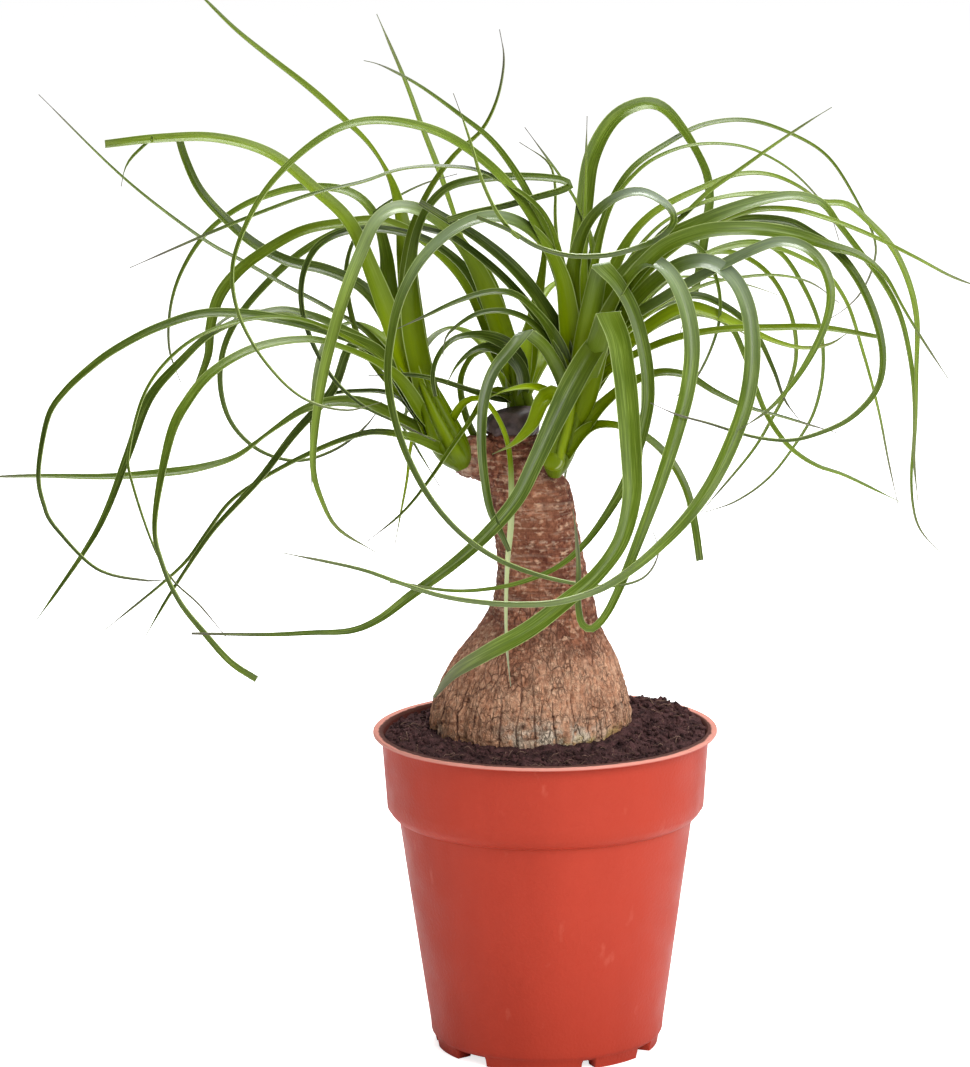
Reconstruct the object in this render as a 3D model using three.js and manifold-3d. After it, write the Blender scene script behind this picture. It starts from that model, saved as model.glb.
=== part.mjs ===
// Potted ponytail palm: a swollen caudex with three leafy shoots, in a round nursery pot of peat.
// Millimetres, +Z up, front towards -Y. The origin is the underside of the pot's centre foot.
import * as THREE from 'three';
import { mergeVertices } from 'three/addons/utils/BufferGeometryUtils.js';
import Module from 'manifold-3d';

const wasm = await Module();
wasm.setup();

// Driving dimensions.
const gap = 0.3; // clearance between pieces that rest on each other
const pot = {
  rimTop: 122, lipRadius: 65, lipInner: 61.2, lipThick: 1.4,
  collarTop: 61.8, collarBottom: 60, collarEnd: 93, shoulderEnd: 88.7,
  bodyTop: 55.6, bodyBottom: 44.2, cornerTop: 6, cornerRadius: 40.6,
  baseUnder: 3, floorTop: 4.8, wall: 1.3, footOuter: 41.4, footInner: 36, centreFoot: 9,
};
// Feet as arcs in degrees from the front, positive towards +X.
const footArcs = [
  [-77, -52], [-33, 18], [25, 53], [66, 92], [104, 131], [141, 168], [176, 206], [218, 248], [257, 273],
];
const drain = { count: 6, radius: 4, circle: 24 };
const soil = { level: 120.2, slope: 0.01, mound: 1.6, moundX: 40, moundY: 34, moundWidth: 16, lump: 0.6 };
const trunkDepth = 14; // how far the trunk's axis stands behind the pot's axis
// The trunk's outline, from the bottom up: height, centre x and radius as seen on the sight plane.
const trunkOutline = [
  [101, -5, 14], [104, -5, 24], [109, -5.2, 32], [116, -5.3, 36.8], [122, -5.3, 38.2], [128, -5.2, 38.2],
  [134, -4.9, 37], [140, -4.4, 35], [145, -3.9, 33], [150, -3.4, 30.4], [155, -2.8, 27.2], [160, -2, 24],
  [165, -1.1, 21.4], [170, -0.4, 19.6], [175, -0.5, 18.3], [180, -0.7, 17.3], [190, -1.6, 16.2],
  [200, -3.2, 15.9], [210, -4.7, 15.7], [217, -5.8, 14.9], [222, -8.4, 12.4], [228, -10.6, 10.2],
  [234, -11.2, 9.4], [238, -11.3, 9.2],
];
const furrows = { count: 11, depth: 0.035, top: 165 };
const sealOutline = [[237.2, 9.9], [239, 10.3], [242, 10], [244.3, 8.4], [245.6, 4.6]];
const sealCentre = -11.3;
// The side stub that carries the left shoot: x, z, depth and radius.
const stubOutline = [[-10, 222, 14, 10.4], [-20, 225, 14, 9.4], [-27, 226, 13, 8.2], [-32, 224.5, 12, 6]];
// Sheath columns of the shoots: x, z, depth and radius.
const sheaths = {
  left: [[-31, 223, 6, 3.2], [-32, 226, 6, 5.6], [-35, 232, 6, 7], [-39, 240, 7, 7.4], [-43, 250, 8, 6.8],
    [-47, 260, 8, 5.2], [-50, 269, 8, 3.6]],
  right: [[4, 219, 4, 2.6], [4.8, 223, 2.5, 4.8], [7, 231, 0, 6.2], [10, 240, -3, 6.7], [12, 250, -5, 6.2],
    [14, 262, -6, 5], [15, 272, -6, 3.6]],
  back: [[-7, 226, 25, 3], [-7, 231, 25, 5], [-7.5, 240, 25, 6], [-9, 250, 24, 6.2], [-11.5, 262, 23, 5.4],
    [-15, 274, 22, 4]],
};
// Leaf routes are read on the upright plane through the pot's axis, seen from this eye point.
const eye = { distance: 1600, height: 495 };
const rootDepth = { left: 7, right: -5, back: 24 };
const blade = { turn: 40, keel: 0.28, keelLeast: 0.5, narrowest: 0.9, sample: 4, bow: 0.7, longest: 28 };
const spread = { rounds: 40, margin: 1.2, reach: 44, rooted: 26, share: 0.55 };
// Leaves as drawn, root to tip: name, widths seen along the leaf, how far the tip reaches back
// (front is negative), and the route as x, z pairs.
const drawnLeaves = {
  left: [
    ['upperLeftCut', [7, 6, 4, 3.2], -25, [
      -42, 236, -52, 265, -62, 293, -71, 314, -84, 327, -100, 340, -120, 346, -141, 346, -161, 344]],
    ['darkHook', [5, 4.5, 3], 12, [
      -41, 234, -50, 262, -59, 281, -68, 291, -81, 297, -94, 300, -107, 307, -119, 318, -127, 328,
      -132, 340, -134, 348]],
    ['topSpear', [6, 8, 8, 1, 2.7, 2.2, 1.2], 32, [
      -43, 240, -49, 285, -51, 310, -54, 325, -58, 335, -64, 344, -72, 352, -85, 364, -100, 376,
      -112, 386, -122, 396, -129, 403]],
    ['outerArc', [4.5, 3.5, 2, 1], -60, [
      -44, 240, -58, 262, -68, 269.6, -94, 277.6, -122, 281, -142, 276, -159, 267.5, -170, 259.5,
      -179, 251, -185, 241.5, -189, 221, -187, 208, -183, 200, -168, 184.3, -150, 179.8, -140, 180.3]],
    ['innerArc', [4, 3, 2, 4, 3, 1.2], -40, [
      -43, 242, -61.6, 266, -75, 275, -88, 280.3, -101, 281.5, -121.6, 274, -135, 262.5, -147, 248.6,
      -155, 228.5, -164, 206, -173, 190.4, -191.5, 164.5]],
    ['outerThread', [1.5, 1, 0.7], -75, [
      -46, 246, -62, 264, -85, 277, -105, 279, -125, 273.7, -139, 264, -149, 250, -155, 228.5, -154, 217,
      -147, 194, -140, 180.4, -130, 170.5, -120, 158]],
    ['thickArc', [5, 4.3, 4, 1.2, 2.6], -90, [
      -42, 238, -56, 258, -78, 269, -92, 270.6, -108, 267.3, -122.4, 259.2, -132, 248.5, -139.4, 233.8,
      -145.8, 202, -143, 185, -137, 171.4, -128.5, 160, -118.5, 148.3, -108.7, 141.5]],
    ['longTwisted', [3.5, 5, 1, 3.5, 2.4, 1], -20, [
      -36, 232, -49, 238, -62, 245, -75, 247.4, -88, 244.8, -101.5, 236.4, -114.5, 227, -127, 222.9,
      -140, 221, -163, 219.5, -190, 220, -212, 219.6]],
    ['lowerLeft', [4, 3.5, 2, 1.2], 30, [
      -44, 243, -60, 264, -71, 268, -78.3, 251.5, -93, 235, -106, 218.3, -121.7, 201.5, -130, 190.6,
      -141.7, 173, -150.2, 158.6]],
    ['lowStrand', [3, 2, 1.2, 1.4, 0.8], 55, [
      -36, 228, -44, 232, -54, 234.8, -64, 235.6, -76, 232.5, -90, 226.5, -104, 219, -117, 210,
      -126, 198.5, -134, 187.5, -143.6, 178.6, -158, 167, -165.6, 160.8]],
    ['farStraight', [2, 1.2, 0.6], 45, [
      -43, 240, -62, 270, -78, 281.6, -95, 291, -110, 299.8, -126, 309, -154, 331.3, -185, 362.5]],
    ['smallSide', [2, 1.5, 1], 20, [
      -45, 238, -52, 248, -60, 251, -68.5, 251.3, -76, 250.8, -84, 248.5, -92, 243]],
    ['roundArc', [4.5, 4.5, 3.5, 2.5, 1.5, 0.8], 50, [
      -42, 240, -50, 262, -56.5, 285, -58, 303, -62.5, 318, -72, 326, -88, 327.5, -100, 325, -112, 320,
      -124, 311, -133, 298, -138, 284, -139, 268, -135, 255]],
    ['tallRight', [4, 3.5, 2.5, 2, 1.2, 0.6], -15, [
      -40, 240, -46, 264, -50, 288, -49, 308, -42, 325, -32, 339, -22, 348, -16, 360, -13.5, 374, -15, 385]],
    ['hairpin', [4, 3.5, 3, 3, 2.5, 2.2], -34, [
      -42, 244, -48, 275, -48, 300, -44, 316, -36, 326, -26, 329.5, -12, 330.8, 2, 330.3, 10.5, 328.4,
      8, 326, -2, 323.2, -14, 320, -27, 317.3, -35, 315]],
    ['driedStrip', [1.8, 1.8, 2.2, 1.6, 1], -48, [
      -36, 236, -30, 246, -23, 248, -17, 241, -13, 230, -12, 215, -12.3, 200, -13.5, 188, -14.3, 172,
      -14.3, 156, -13.5, 145, -12.8, 138]],
    ['slimHook', [2, 2, 0.8, 0.6], 30, [
      -48, 246, -57, 254, -64, 263, -69, 273, -72, 286, -72.5, 298, -69, 309, -62, 318, -52, 324.5,
      -42, 329, -31, 332]],
    ['hangingHair', [1, 0.8, 0.6], 14, [
      -40, 242, -46, 240, -49.5, 230, -51, 218, -53.5, 205, -56, 192]],
  ],
  right: [
    ['topCurl', [3.5, 3, 2.5, 1.5, 0.8], -30, [
      12, 262, 10, 280, 6, 300, 0, 314, -8, 330, -18, 344, -30, 354, -45, 365, -58, 372, -65, 374]],
    ['bigLoop', [4, 3.5, 3.5, 2.5, 1.5, 1, 0.8], -75, [
      13, 262, 9, 285, 3, 302, -5, 318, -15, 331, -28, 342, -42, 349, -60, 352, -75, 349, -90, 339,
      -103, 325, -112, 308, -115, 294, -112, 278, -103, 262, -90, 249, -74, 244, -60, 247]],
    ['slimLoop', [2.5, 2, 1.2, 0.8, 1.2, 1.5, 0.6], -50, [
      12, 266, 8, 295, 0, 318, -20, 332, -36, 335, -52, 334, -66, 329.5, -85, 325, -105, 318, -125, 310,
      -153, 298]],
    ['paleFront', [4.5, 4.5, 4.5, 4, 3, 2.5, 2, 2, 1, 0.6], -85, [
      12, 258, 10, 276, 7, 294, 0, 307, -10, 314.5, -21, 316, -33, 311, -44, 301, -52, 287, -56, 272,
      -57.5, 256, -55, 240, -50, 225, -42, 210, -31, 197, -18, 187.5, -4, 181.5, 12, 177.5, 27, 176.5,
      38, 180, 43, 189, 41, 197]],
    ['foldBack', [3.5, 3.5, 3.5, 2, 1.6, 1.4], -42, [
      12, 262, 11, 280, 12, 298, 17, 313, 26, 322, 36, 325, 45, 321, 49, 315, 45, 309, 36, 304.5,
      24, 301.5, 10, 301.5, -2, 305, -12, 311, -24, 316]],
    ['tallLoop', [5.5, 4.5, 3.5, 2, 3.5, 2.5], 40, [
      13, 264, 13, 290, 14, 305, 16, 320, 18, 335, 22, 345, 27, 352, 33, 356, 40, 357.5, 46, 355,
      52, 348, 57, 340, 61, 331, 62, 322, 61, 314, 59, 300, 56, 285]],
    ['innerSpear', [2, 1.5, 0.7], -12, [
      14, 262, 15, 290, 16, 320, 17, 353]],
    ['longTop', [3, 2.5, 2, 1, 0.8, 0.6], 60, [
      14, 262, 16, 285, 20, 305, 26, 322, 34, 334, 47, 343, 60, 349.5, 76, 351, 92, 346, 106, 337,
      117, 320, 123.3, 306, 122.5, 296, 118, 286.5, 112, 280.5, 106.5, 277]],
    ['innerTop', [2, 1.5, 0.8, 0.6], 28, [
      14, 260, 18, 290, 25, 318, 36, 333, 48, 340, 60, 342.5, 74, 341.5, 86, 336.5, 96, 329, 106, 317,
      110, 306]],
    ['straightRight', [2.5, 2, 1.5, 0.8], -18, [
      15, 260, 28, 288, 42, 307, 52, 315.5, 62, 325, 72, 332, 86, 342, 98, 350, 107, 355.5]],
    ['archRight', [5, 5, 3, 2, 1.5, 1], 12, [
      14, 256, 22, 285, 31, 305, 39, 315, 48, 321, 60, 326.5, 72, 331, 84, 331, 95, 326.5, 104, 319.5,
      112, 311]],
    ['outerRight', [3, 1.2, 0.8, 2, 2.5, 2.5, 1.5, 1], -30, [
      15, 258, 28, 292, 42, 311, 58, 320, 72, 323.5, 88, 323.5, 103, 320.5, 113, 319.5, 122, 312,
      130, 303, 136, 290, 139, 276, 139, 258, 139, 240, 138.5, 224, 140, 208]],
    ['farRight', [3, 2.5, 2, 1.5, 1], -52, [
      15, 258, 35, 290, 55, 308, 75, 317, 92, 318, 107, 314, 122, 308, 138, 300, 152, 292.5, 165, 287.5]],
    ['wideTop', [6, 6.5, 6.5, 4, 2, 2, 1.8, 1.2, 0.8], -8, [
      14, 256, 24, 285, 40, 303, 58, 313, 76, 320, 92, 323, 103, 320.5, 110, 312, 118, 301.5, 126, 291,
      132, 280, 135.5, 268, 138, 252, 138.5, 235, 137.5, 218, 138.5, 205, 141.5, 196.5, 148.5, 188.5]],
    ['wideMiddle', [5.5, 6, 6, 5, 1, 0.8], -38, [
      14, 254, 26, 282, 42, 302, 58, 309.5, 75, 311, 92, 309, 106, 304.5, 118, 300.5, 127, 293, 134, 281,
      140, 271, 151, 254]],
    ['darkRound', [3, 3, 3, 3.5, 3, 2, 1.2, 0.7], -64, [
      14, 256, 30, 290, 50, 307, 72, 314, 90, 313.5, 100, 308.5, 110, 301, 118, 290, 124, 276,
      126.5, 262, 124, 250, 115, 240, 104, 234.5, 92, 231.5, 78, 233, 62, 238, 50, 241.5, 40, 246]],
    ['paleFold', [4, 4, 4, 4, 3, 1], -72, [
      14, 254, 30, 275, 46, 286, 60, 294, 76, 302, 88, 306, 98, 303.5, 104.5, 296, 107, 286, 105, 275,
      100, 264, 93, 253, 84, 243, 73, 235.5]],
    ['paleLong', [5, 5.5, 6, 6.5, 6, 4, 2.4, 2.2, 1.8, 1], -118, [
      13, 250, 24, 270, 36, 286, 48, 296, 60, 299, 70, 293.5, 76, 282, 78, 266, 76.5, 250, 72, 235,
      64, 217.5, 54, 203, 42, 190.5, 31, 181.5, 20, 175, 5, 170.5, -10, 169.7, -25, 170.8, -40, 173.5,
      -55, 178.5, -70, 183.8, -98, 190]],
    ['hookedTip', [5, 5.5, 5.5, 5, 3.5, 3, 1.5, 0.8], -92, [
      13, 248, 20, 270, 30, 290, 39, 299, 47, 295, 53, 283, 55.5, 268, 54, 252, 50, 236, 44, 217,
      37, 198, 30, 180, 24, 167, 18.5, 160.5, 14.5, 161.5, 12.8, 170, 13, 184, 12, 198, 11, 206]],
    ['innerHanging', [4, 4, 4, 3.5, 1.5, 1.2, 1], -66, [
      13, 248, 16, 272, 20, 290, 25, 298, 31, 291, 36, 278, 39, 264, 39.7, 250, 38, 239, 35, 228,
      31, 217, 25, 206, 16, 193.5, 6, 184.5, -6, 179, -20, 175.8, -36, 175.2, -58, 178.8]],
    ['broadFront', [6, 7.5, 7.5, 7, 6.5, 4.5, 4.5, 4, 0.8], -108, [
      12, 244, 18, 262, 23.5, 279, 27, 268, 30, 254, 32, 240, 33.5, 225, 33, 210, 29, 194, 20, 181,
      9, 171.5, -6, 160, -22, 151, -34, 143.5, -42, 134]],
    ['broadFold', [5, 6, 6, 5, 4, 3.5, 2, 1.2, 0.9], -78, [
      12, 242, 18, 256, 20.5, 266, 17, 267, 11, 256, 5, 241, -2, 225, -10, 210, -21, 197, -35, 184.5,
      -50, 173.5, -62, 164.5, -73, 160, -88, 159.3, -105, 158.7, -133, 159.3]],
    ['trunkSide', [3.5, 3.5, 3, 3, 2.8, 2], -52, [
      9, 248, 5, 262, -2, 271, -7, 272.5, -13, 267, -19, 257, -22.5, 245, -23, 232, -22, 218, -20, 206,
      -16, 197, -13, 190]],
    ['shortFront', [4, 3.6, 3, 1], -26, [
      9, 242, 4, 249.5, -0.5, 246, -4, 238, -11, 231, -19, 227]],
    ['lowArch', [3, 2.5, 2, 1], -34, [
      10, 256, 6, 268, -1, 279, -10, 287, -20, 288, -32, 284.5, -44, 279, -54, 274.5]],
    ['lowestArch', [2.5, 2.2, 2, 1], -26, [
      9, 250, 6, 262, 1, 271, -6, 278, -15, 281, -24, 280, -31, 276, -36, 271, -37, 264]],
    ['wideLeft', [5, 5, 5, 4, 2.5], -17, [
      11, 254, 6, 272, -2, 286.5, -12, 298.5, -24, 308.5, -36, 316, -45, 321.5]],
    ['nextLeft', [3.5, 3.5, 3, 2], -8, [
      10, 252, 5, 267, -3, 280, -13, 292, -24, 302, -34, 309, -44, 312]],
    ['threadUp', [1.5, 1.2, 0.7], 12, [
      13, 260, 9, 285, 6, 303, 5, 316, 5, 327, 2.5, 336, -8, 343.5]],
    ['threadCross', [1.8, 1.2, 0.7], 22, [
      15, 260, 19, 285, 19, 303, 15, 317, 8, 329.5, -6, 349]],
    ['sideArch', [3.5, 3.5, 2.5, 1, 0.7], -32, [
      12, 232, 20, 243, 31, 252.5, 43, 257.3, 54, 256, 64, 250, 76, 244.3, 90, 240.3, 110, 234]],
    ['cutHook', [2.5, 2.5, 3, 3, 3], -22, [
      9, 226, 13, 233, 19, 237.5, 28, 237.5, 38, 233.5, 47, 225, 53.5, 213, 56.5, 200, 58.5, 186]],
    ['levelRight', [3, 2.8, 2.5, 2.5, 1.5], -36, [
      13, 246, 24, 258, 38, 266, 52, 271, 68, 273.5, 86, 274, 104, 273.8, 126, 270]],
    ['brightFold', [4.5, 5, 5, 2, 1], -24, [
      13, 244, 26, 262, 40, 275, 52, 281.5, 62, 280, 74, 274.5, 86, 269, 97, 266.3, 107, 267.8, 115, 273]],
    ['backDrop', [3, 3, 2.5, 1], 34, [
      14, 252, 34, 276, 54, 286, 68, 282, 79, 272, 86, 258, 90, 247, 96, 238.5]],
    ['backTrail', [3, 2.5, 2, 2, 1.2], 50, [
      13, 248, 32, 268, 52, 279, 68, 276, 75, 264, 79, 252, 84, 240, 92, 229, 102, 222, 113, 218, 133, 208]],
    ['backArc', [3, 2.5, 1.5, 1.5, 0.8], 66, [
      14, 252, 30, 280, 48, 296, 64, 302.3, 76, 300, 86, 291.5, 92.5, 278, 94.3, 264, 91.5, 252, 85, 239,
      77, 226, 59, 204.5]],
    ['backHair', [2.5, 1.5, 0.8], 82, [
      15, 252, 36, 282, 58, 300, 76, 306, 88, 302, 97, 289, 103, 274, 104.3, 258, 101, 242, 93.5, 229,
      84, 217, 72, 208.5, 60, 204.3]],
    ['levelHair', [2, 1.2, 0.6], 18, [
      15, 256, 40, 280, 60, 290, 75, 293, 88, 293.5, 100, 290.5, 110, 283]],
    ['rightHair', [2.5, 1.5, 0.7], 44, [
      15, 254, 45, 292, 75, 305, 100, 298, 112, 285, 119, 265, 125, 243, 129, 223, 132.5, 207]],
    ['smallLoop', [2.5, 1.8, 1.2, 0.8], -20, [
      14, 254, 26, 286, 40, 301, 52, 306, 60, 302, 65, 291, 66, 279, 63, 267, 57, 255, 50, 248.5]],
    ['capFront', [2.2, 2, 1.2], -13, [
      6, 246, 0, 251.5, -6, 252.5, -14, 251, -20, 248.5]],
  ],
  back: [
    ['backSpear', [3, 2.5, 1, 2.3, 2, 1], 30, [
      -8, 252, -17, 280, -28, 304, -33, 319, -38, 334, -44, 350, -50, 367, -60, 391]],
    ['leftCircle', [3.5, 3, 3, 2.5, 1.5, 1], 24, [
      -12, 258, -20, 290, -30, 306, -42, 312, -58, 314, -72, 312, -88, 304, -102, 292, -113, 279,
      -119, 266, -120, 252, -116, 239, -106, 229, -92, 225, -78, 229, -67, 237, -60, 246]],
    ['greyBend', [4, 4, 5, 5, 4.5, 3, 1], -70, [
      -9, 252, -18, 282, -28, 303, -40, 316, -52, 320, -61, 315, -67, 303, -73, 288, -78, 272, -82, 256,
      -85, 238, -86, 222, -83, 210, -77, 199, -63, 190]],
    ['brightDrop', [3.5, 3.5, 3.5, 4, 5, 2], -18, [
      -11, 256, -26, 288, -42, 306, -58, 314.5, -74, 314, -88, 311.5, -100, 305.5, -112, 297, -120, 287,
      -123.5, 275, -124.5, 265, -130, 251]],
    ['darkHoop', [3, 3, 3, 2, 1.5, 1], -42, [
      -11, 258, -24, 290, -38, 305, -54, 311, -70, 311.5, -82, 306.5, -88, 297, -89.5, 286, -87.5, 275,
      -83, 264, -76, 253.5, -66, 245, -54, 239, -40, 232]],
    ['smallHoop', [2.5, 2, 1.5], -46, [
      -8, 250, -8, 262, -14, 269, -24, 272, -33, 270.5, -39, 264, -41, 256, -40, 249]],
    ['smallerHoop', [2.5, 2, 1.2], -34, [
      -8, 246, -7, 255, -10, 262, -17, 267, -25, 266.5, -32, 260.5, -36, 253]],
    ['thinCross', [2, 1.5, 1, 0.6], -36, [
      -9, 246, -15, 250.5, -21, 249, -27, 240, -34, 230, -43, 217, -53, 205, -67, 193.5]],
    ['levelShort', [2, 1.8, 1.2], -30, [
      -9, 248, -16, 248.5, -26, 251, -38, 255, -50, 257.3, -65, 257]],
    ['innerUpright', [5, 5, 3, 1], 22, [
      -7, 252, -4, 272, -1, 288, 1, 303, 0, 316]],
  ],
};
// Leaves on the far side, each as bearing, curl, length, lean at the root and at the tip, and width:
// bearings in degrees (90 is straight back), the curl added by the tip, the lean from upright.
const rearBlades = {
  left: [[114, -47, 140, 44, 143, 4.4], [117, -27, 218, 46, 165, 5], [149, -55, 173, 44, 130, 4.6]],
  right: [
    [72, 30, 235, 47, 170, 5.4], [53, 58, 220, 27, 144, 4.8], [80, -4, 166, 48, 172, 4.2],
    [52, 37, 140, 28, 149, 4.4], [78, -50, 170, 48, 112, 4.6],
  ],
  back: [
    [59, -31, 156, 47, 125, 4.6], [66, 57, 198, 50, 169, 5.2], [87, 2, 130, 47, 170, 4.4],
    [76, -22, 141, 16, 151, 4], [63, 12, 157, 42, 167, 5], [116, -16, 168, 46, 160, 5],
  ],
};
const rearRoot = { left: [-42, 244], right: [12, 246], back: [-9, 248] };

const radians = Math.PI / 180;
const colours = {
  pot: { color: 0xc4523f, roughness: 0.5 },
  soil: { color: 0x3c2a2a, roughness: 0.97 },
  trunk: { color: 0x9a7358, roughness: 0.88 },
  cut_seal: { color: 0x32262a, roughness: 0.6 },
  shoot_left: { color: 0x5f8a2c, roughness: 0.48 },
  shoot_right: { color: 0x678f2e, roughness: 0.48 },
  shoot_back: { color: 0x4e7a2a, roughness: 0.5 },
};

// A point of the sight plane, carried along its sight line to a depth behind that plane.
function place(x, z, depth) {
  const t = (eye.distance + depth) / eye.distance;
  return new THREE.Vector3(x * t, depth, eye.height + (z - eye.height) * t);
}

// The way back: a point in space as x, z on the sight plane, and its depth.
function onPlane(point) {
  const t = (eye.distance + point.y) / eye.distance;
  return [point.x / t, eye.height + (point.z - eye.height) / t, point.y];
}

function valueAlong(list, s) {
  const place01 = s * (list.length - 1);
  const k = Math.min(Math.floor(place01), list.length - 2);
  return list[k] + (list[k + 1] - list[k]) * (place01 - k);
}

function closedGeometry(positions, index) {
  const geometry = new THREE.BufferGeometry();
  geometry.setAttribute('position', new THREE.Float32BufferAttribute(positions, 3));
  geometry.setIndex(index);
  return geometry;
}

// A closed skin over rings of points, with a fan on each end.
function loft(rings) {
  const sides = rings[0].length;
  const positions = rings.flat().flatMap((p) => [p.x, p.y, p.z]);
  const index = [];
  for (let k = 0; k + 1 < rings.length; k += 1) {
    for (let j = 0; j < sides; j += 1) {
      const a = k * sides + j;
      const b = k * sides + ((j + 1) % sides);
      index.push(a, b, b + sides, a, b + sides, a + sides);
    }
  }
  const last = (rings.length - 1) * sides;
  if (sides === 3) {
    index.push(0, 2, 1, last, last + 1, last + 2);
    return closedGeometry(positions, index);
  }
  [rings[0], rings[rings.length - 1]].forEach((ring, end) => {
    const middle = new THREE.Vector3();
    ring.forEach((p) => middle.addScaledVector(p, 1 / sides));
    positions.push(middle.x, middle.y, middle.z);
    const centre = rings.length * sides + end;
    for (let j = 0; j < sides; j += 1) {
      const a = end * last + j;
      const b = end * last + ((j + 1) % sides);
      index.push(centre, end ? a : b, end ? b : a);
    }
  });
  return closedGeometry(positions, index);
}

function signedVolume(positions, index) {
  let sum = 0;
  const corner = [new THREE.Vector3(), new THREE.Vector3(), new THREE.Vector3()];
  for (let t = 0; t < index.length; t += 3) {
    corner.forEach((v, c) => v.fromArray(positions, index[t + c] * 3));
    sum += corner[0].dot(corner[1].cross(corner[2])) / 6;
  }
  return sum;
}

// A geometry as a solid: equal vertices merged, faces without area dropped, faces turned outwards.
function solid(geometry) {
  const bare = geometry.clone();
  bare.deleteAttribute('normal');
  bare.deleteAttribute('uv');
  const merged = mergeVertices(bare, 1e-4);
  const source = merged.getIndex().array;
  const index = [];
  for (let t = 0; t < source.length; t += 3) {
    const [a, b, c] = [source[t], source[t + 1], source[t + 2]];
    if (a !== b && b !== c && c !== a) index.push(a, b, c);
  }
  const positions = merged.getAttribute('position').array;
  if (signedVolume(positions, index) < 0) index.reverse();
  const mesh = new wasm.Mesh({
    numProp: 3,
    vertProperties: Float32Array.from(positions),
    triVerts: Uint32Array.from(index),
  });
  return new wasm.Manifold(mesh);
}

function joined(solids) {
  return solids.reduce((sum, next) => sum.add(next));
}

// The largest connected body; crumbs cut loose beside it are dropped.
function largestBody(body) {
  const bodies = body.decompose();
  return bodies.reduce((best, next) => (next.volume() > best.volume() ? next : best));
}

function named(name, body) {
  const mesh = body.getMesh();
  const geometry = closedGeometry(Array.from(mesh.vertProperties), Array.from(mesh.triVerts));
  geometry.computeVertexNormals();
  const look = new THREE.MeshStandardMaterial({ ...colours[name], metalness: 0 });
  const node = new THREE.Mesh(geometry, look);
  node.name = name;
  return node;
}

function circle(centre, radius, sides) {
  const ring = [];
  for (let j = 0; j < sides; j += 1) {
    const angle = (2 * Math.PI * j) / sides;
    ring.push(new THREE.Vector3(radius * Math.cos(angle), radius * Math.sin(angle), 0).add(centre));
  }
  return ring;
}

// Pot: a turned cup with a collar, a flat lip, drain holes and a broken ring of feet.
function turned(profile, segments) {
  const points = profile.map(([r, z]) => new THREE.Vector2(r, z));
  const geometry = new THREE.LatheGeometry(points, segments);
  geometry.rotateX(Math.PI / 2);
  return solid(geometry);
}

function potInside(clear) {
  return [
    [pot.cornerRadius - pot.wall - clear, pot.floorTop + clear],
    [pot.bodyBottom - pot.wall - clear, pot.floorTop + 4 + clear],
    [pot.bodyTop - pot.wall - clear, pot.shoulderEnd + 0.8],
    [pot.collarBottom - pot.wall - clear, pot.collarEnd + 1.4],
    [pot.collarTop - 0.6 - pot.wall - clear, pot.rimTop - 10],
  ];
}

function footSolid([from, to]) {
  const start = (from - 90) * radians;
  const end = (to - 90) * radians;
  const outline = new THREE.Shape();
  outline.absarc(0, 0, pot.footOuter, start, end, false);
  outline.absarc(0, 0, pot.footInner, end, start, true);
  const height = (pot.baseUnder + pot.floorTop) / 2;
  return solid(new THREE.ExtrudeGeometry(outline, { depth: height, bevelEnabled: false, curveSegments: 3 }));
}

function makePot() {
  const outside = [
    [0, pot.baseUnder],
    [pot.cornerRadius, pot.baseUnder],
    [pot.cornerRadius + 2.4, pot.baseUnder + 1],
    [pot.bodyBottom, pot.cornerTop],
    [pot.bodyTop, pot.shoulderEnd],
    [pot.bodyTop + 2.6, pot.shoulderEnd + 1.2],
    [pot.collarBottom - 0.5, pot.collarEnd - 1.6],
    [pot.collarBottom, pot.collarEnd],
    [pot.collarTop, pot.rimTop - pot.lipThick],
    [pot.lipRadius - 0.4, pot.rimTop - pot.lipThick],
    [pot.lipRadius, pot.rimTop - pot.lipThick / 2],
    [pot.lipRadius - 0.4, pot.rimTop],
    [pot.lipInner, pot.rimTop],
  ];
  const inside = potInside(0).reverse();
  let cup = turned([...outside, ...inside, [0, pot.floorTop]], 44);
  const feet = footArcs.map(footSolid);
  const centreHeight = (pot.baseUnder + pot.floorTop) / 2;
  const centre = new THREE.CylinderGeometry(pot.centreFoot, pot.centreFoot, centreHeight, 24);
  centre.rotateX(Math.PI / 2);
  centre.translate(0, 0, centreHeight / 2);
  cup = joined([cup, ...feet, solid(centre)]);
  for (let k = 0; k < drain.count; k += 1) {
    const angle = (2 * Math.PI * (k + 0.5)) / drain.count;
    const hole = new THREE.CylinderGeometry(drain.radius, drain.radius, 4 * pot.floorTop, 12);
    hole.rotateX(Math.PI / 2);
    hole.translate(drain.circle * Math.cos(angle), drain.circle * Math.sin(angle), 0);
    cup = cup.subtract(solid(hole));
  }
  return cup;
}

// Peat: fills the pot nearly to its rim, uneven, and a little heaped at the back right.
function soilHeight(x, y) {
  const far = ((x - soil.moundX) ** 2 + (y - soil.moundY) ** 2) / (2 * soil.moundWidth ** 2);
  const lumps = Math.sin(x * 0.43 + 1.3) * Math.cos(y * 0.51) + 0.6 * Math.sin(x * 0.19 - y * 0.83);
  return soil.level + soil.slope * x + soil.mound * Math.exp(-far) + soil.lump * lumps;
}

function makeSoil(trunkSpace) {
  const wall = potInside(gap);
  const sides = 40;
  const rings = wall.map(([r, z]) => circle(new THREE.Vector3(0, 0, z), r, sides));
  const edge = wall[wall.length - 1][0];
  [1, 0.94, 0.82, 0.66, 0.48].forEach((share) => {
    const ring = circle(new THREE.Vector3(), edge * share, sides);
    ring.forEach((p) => {
      const height = soilHeight(p.x, p.y);
      p.z = share === 1 ? Math.min(height, pot.rimTop - 1) : height;
    });
    rings.push(ring);
  });
  return largestBody(solid(loft(rings)).subtract(trunkSpace));
}

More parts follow.
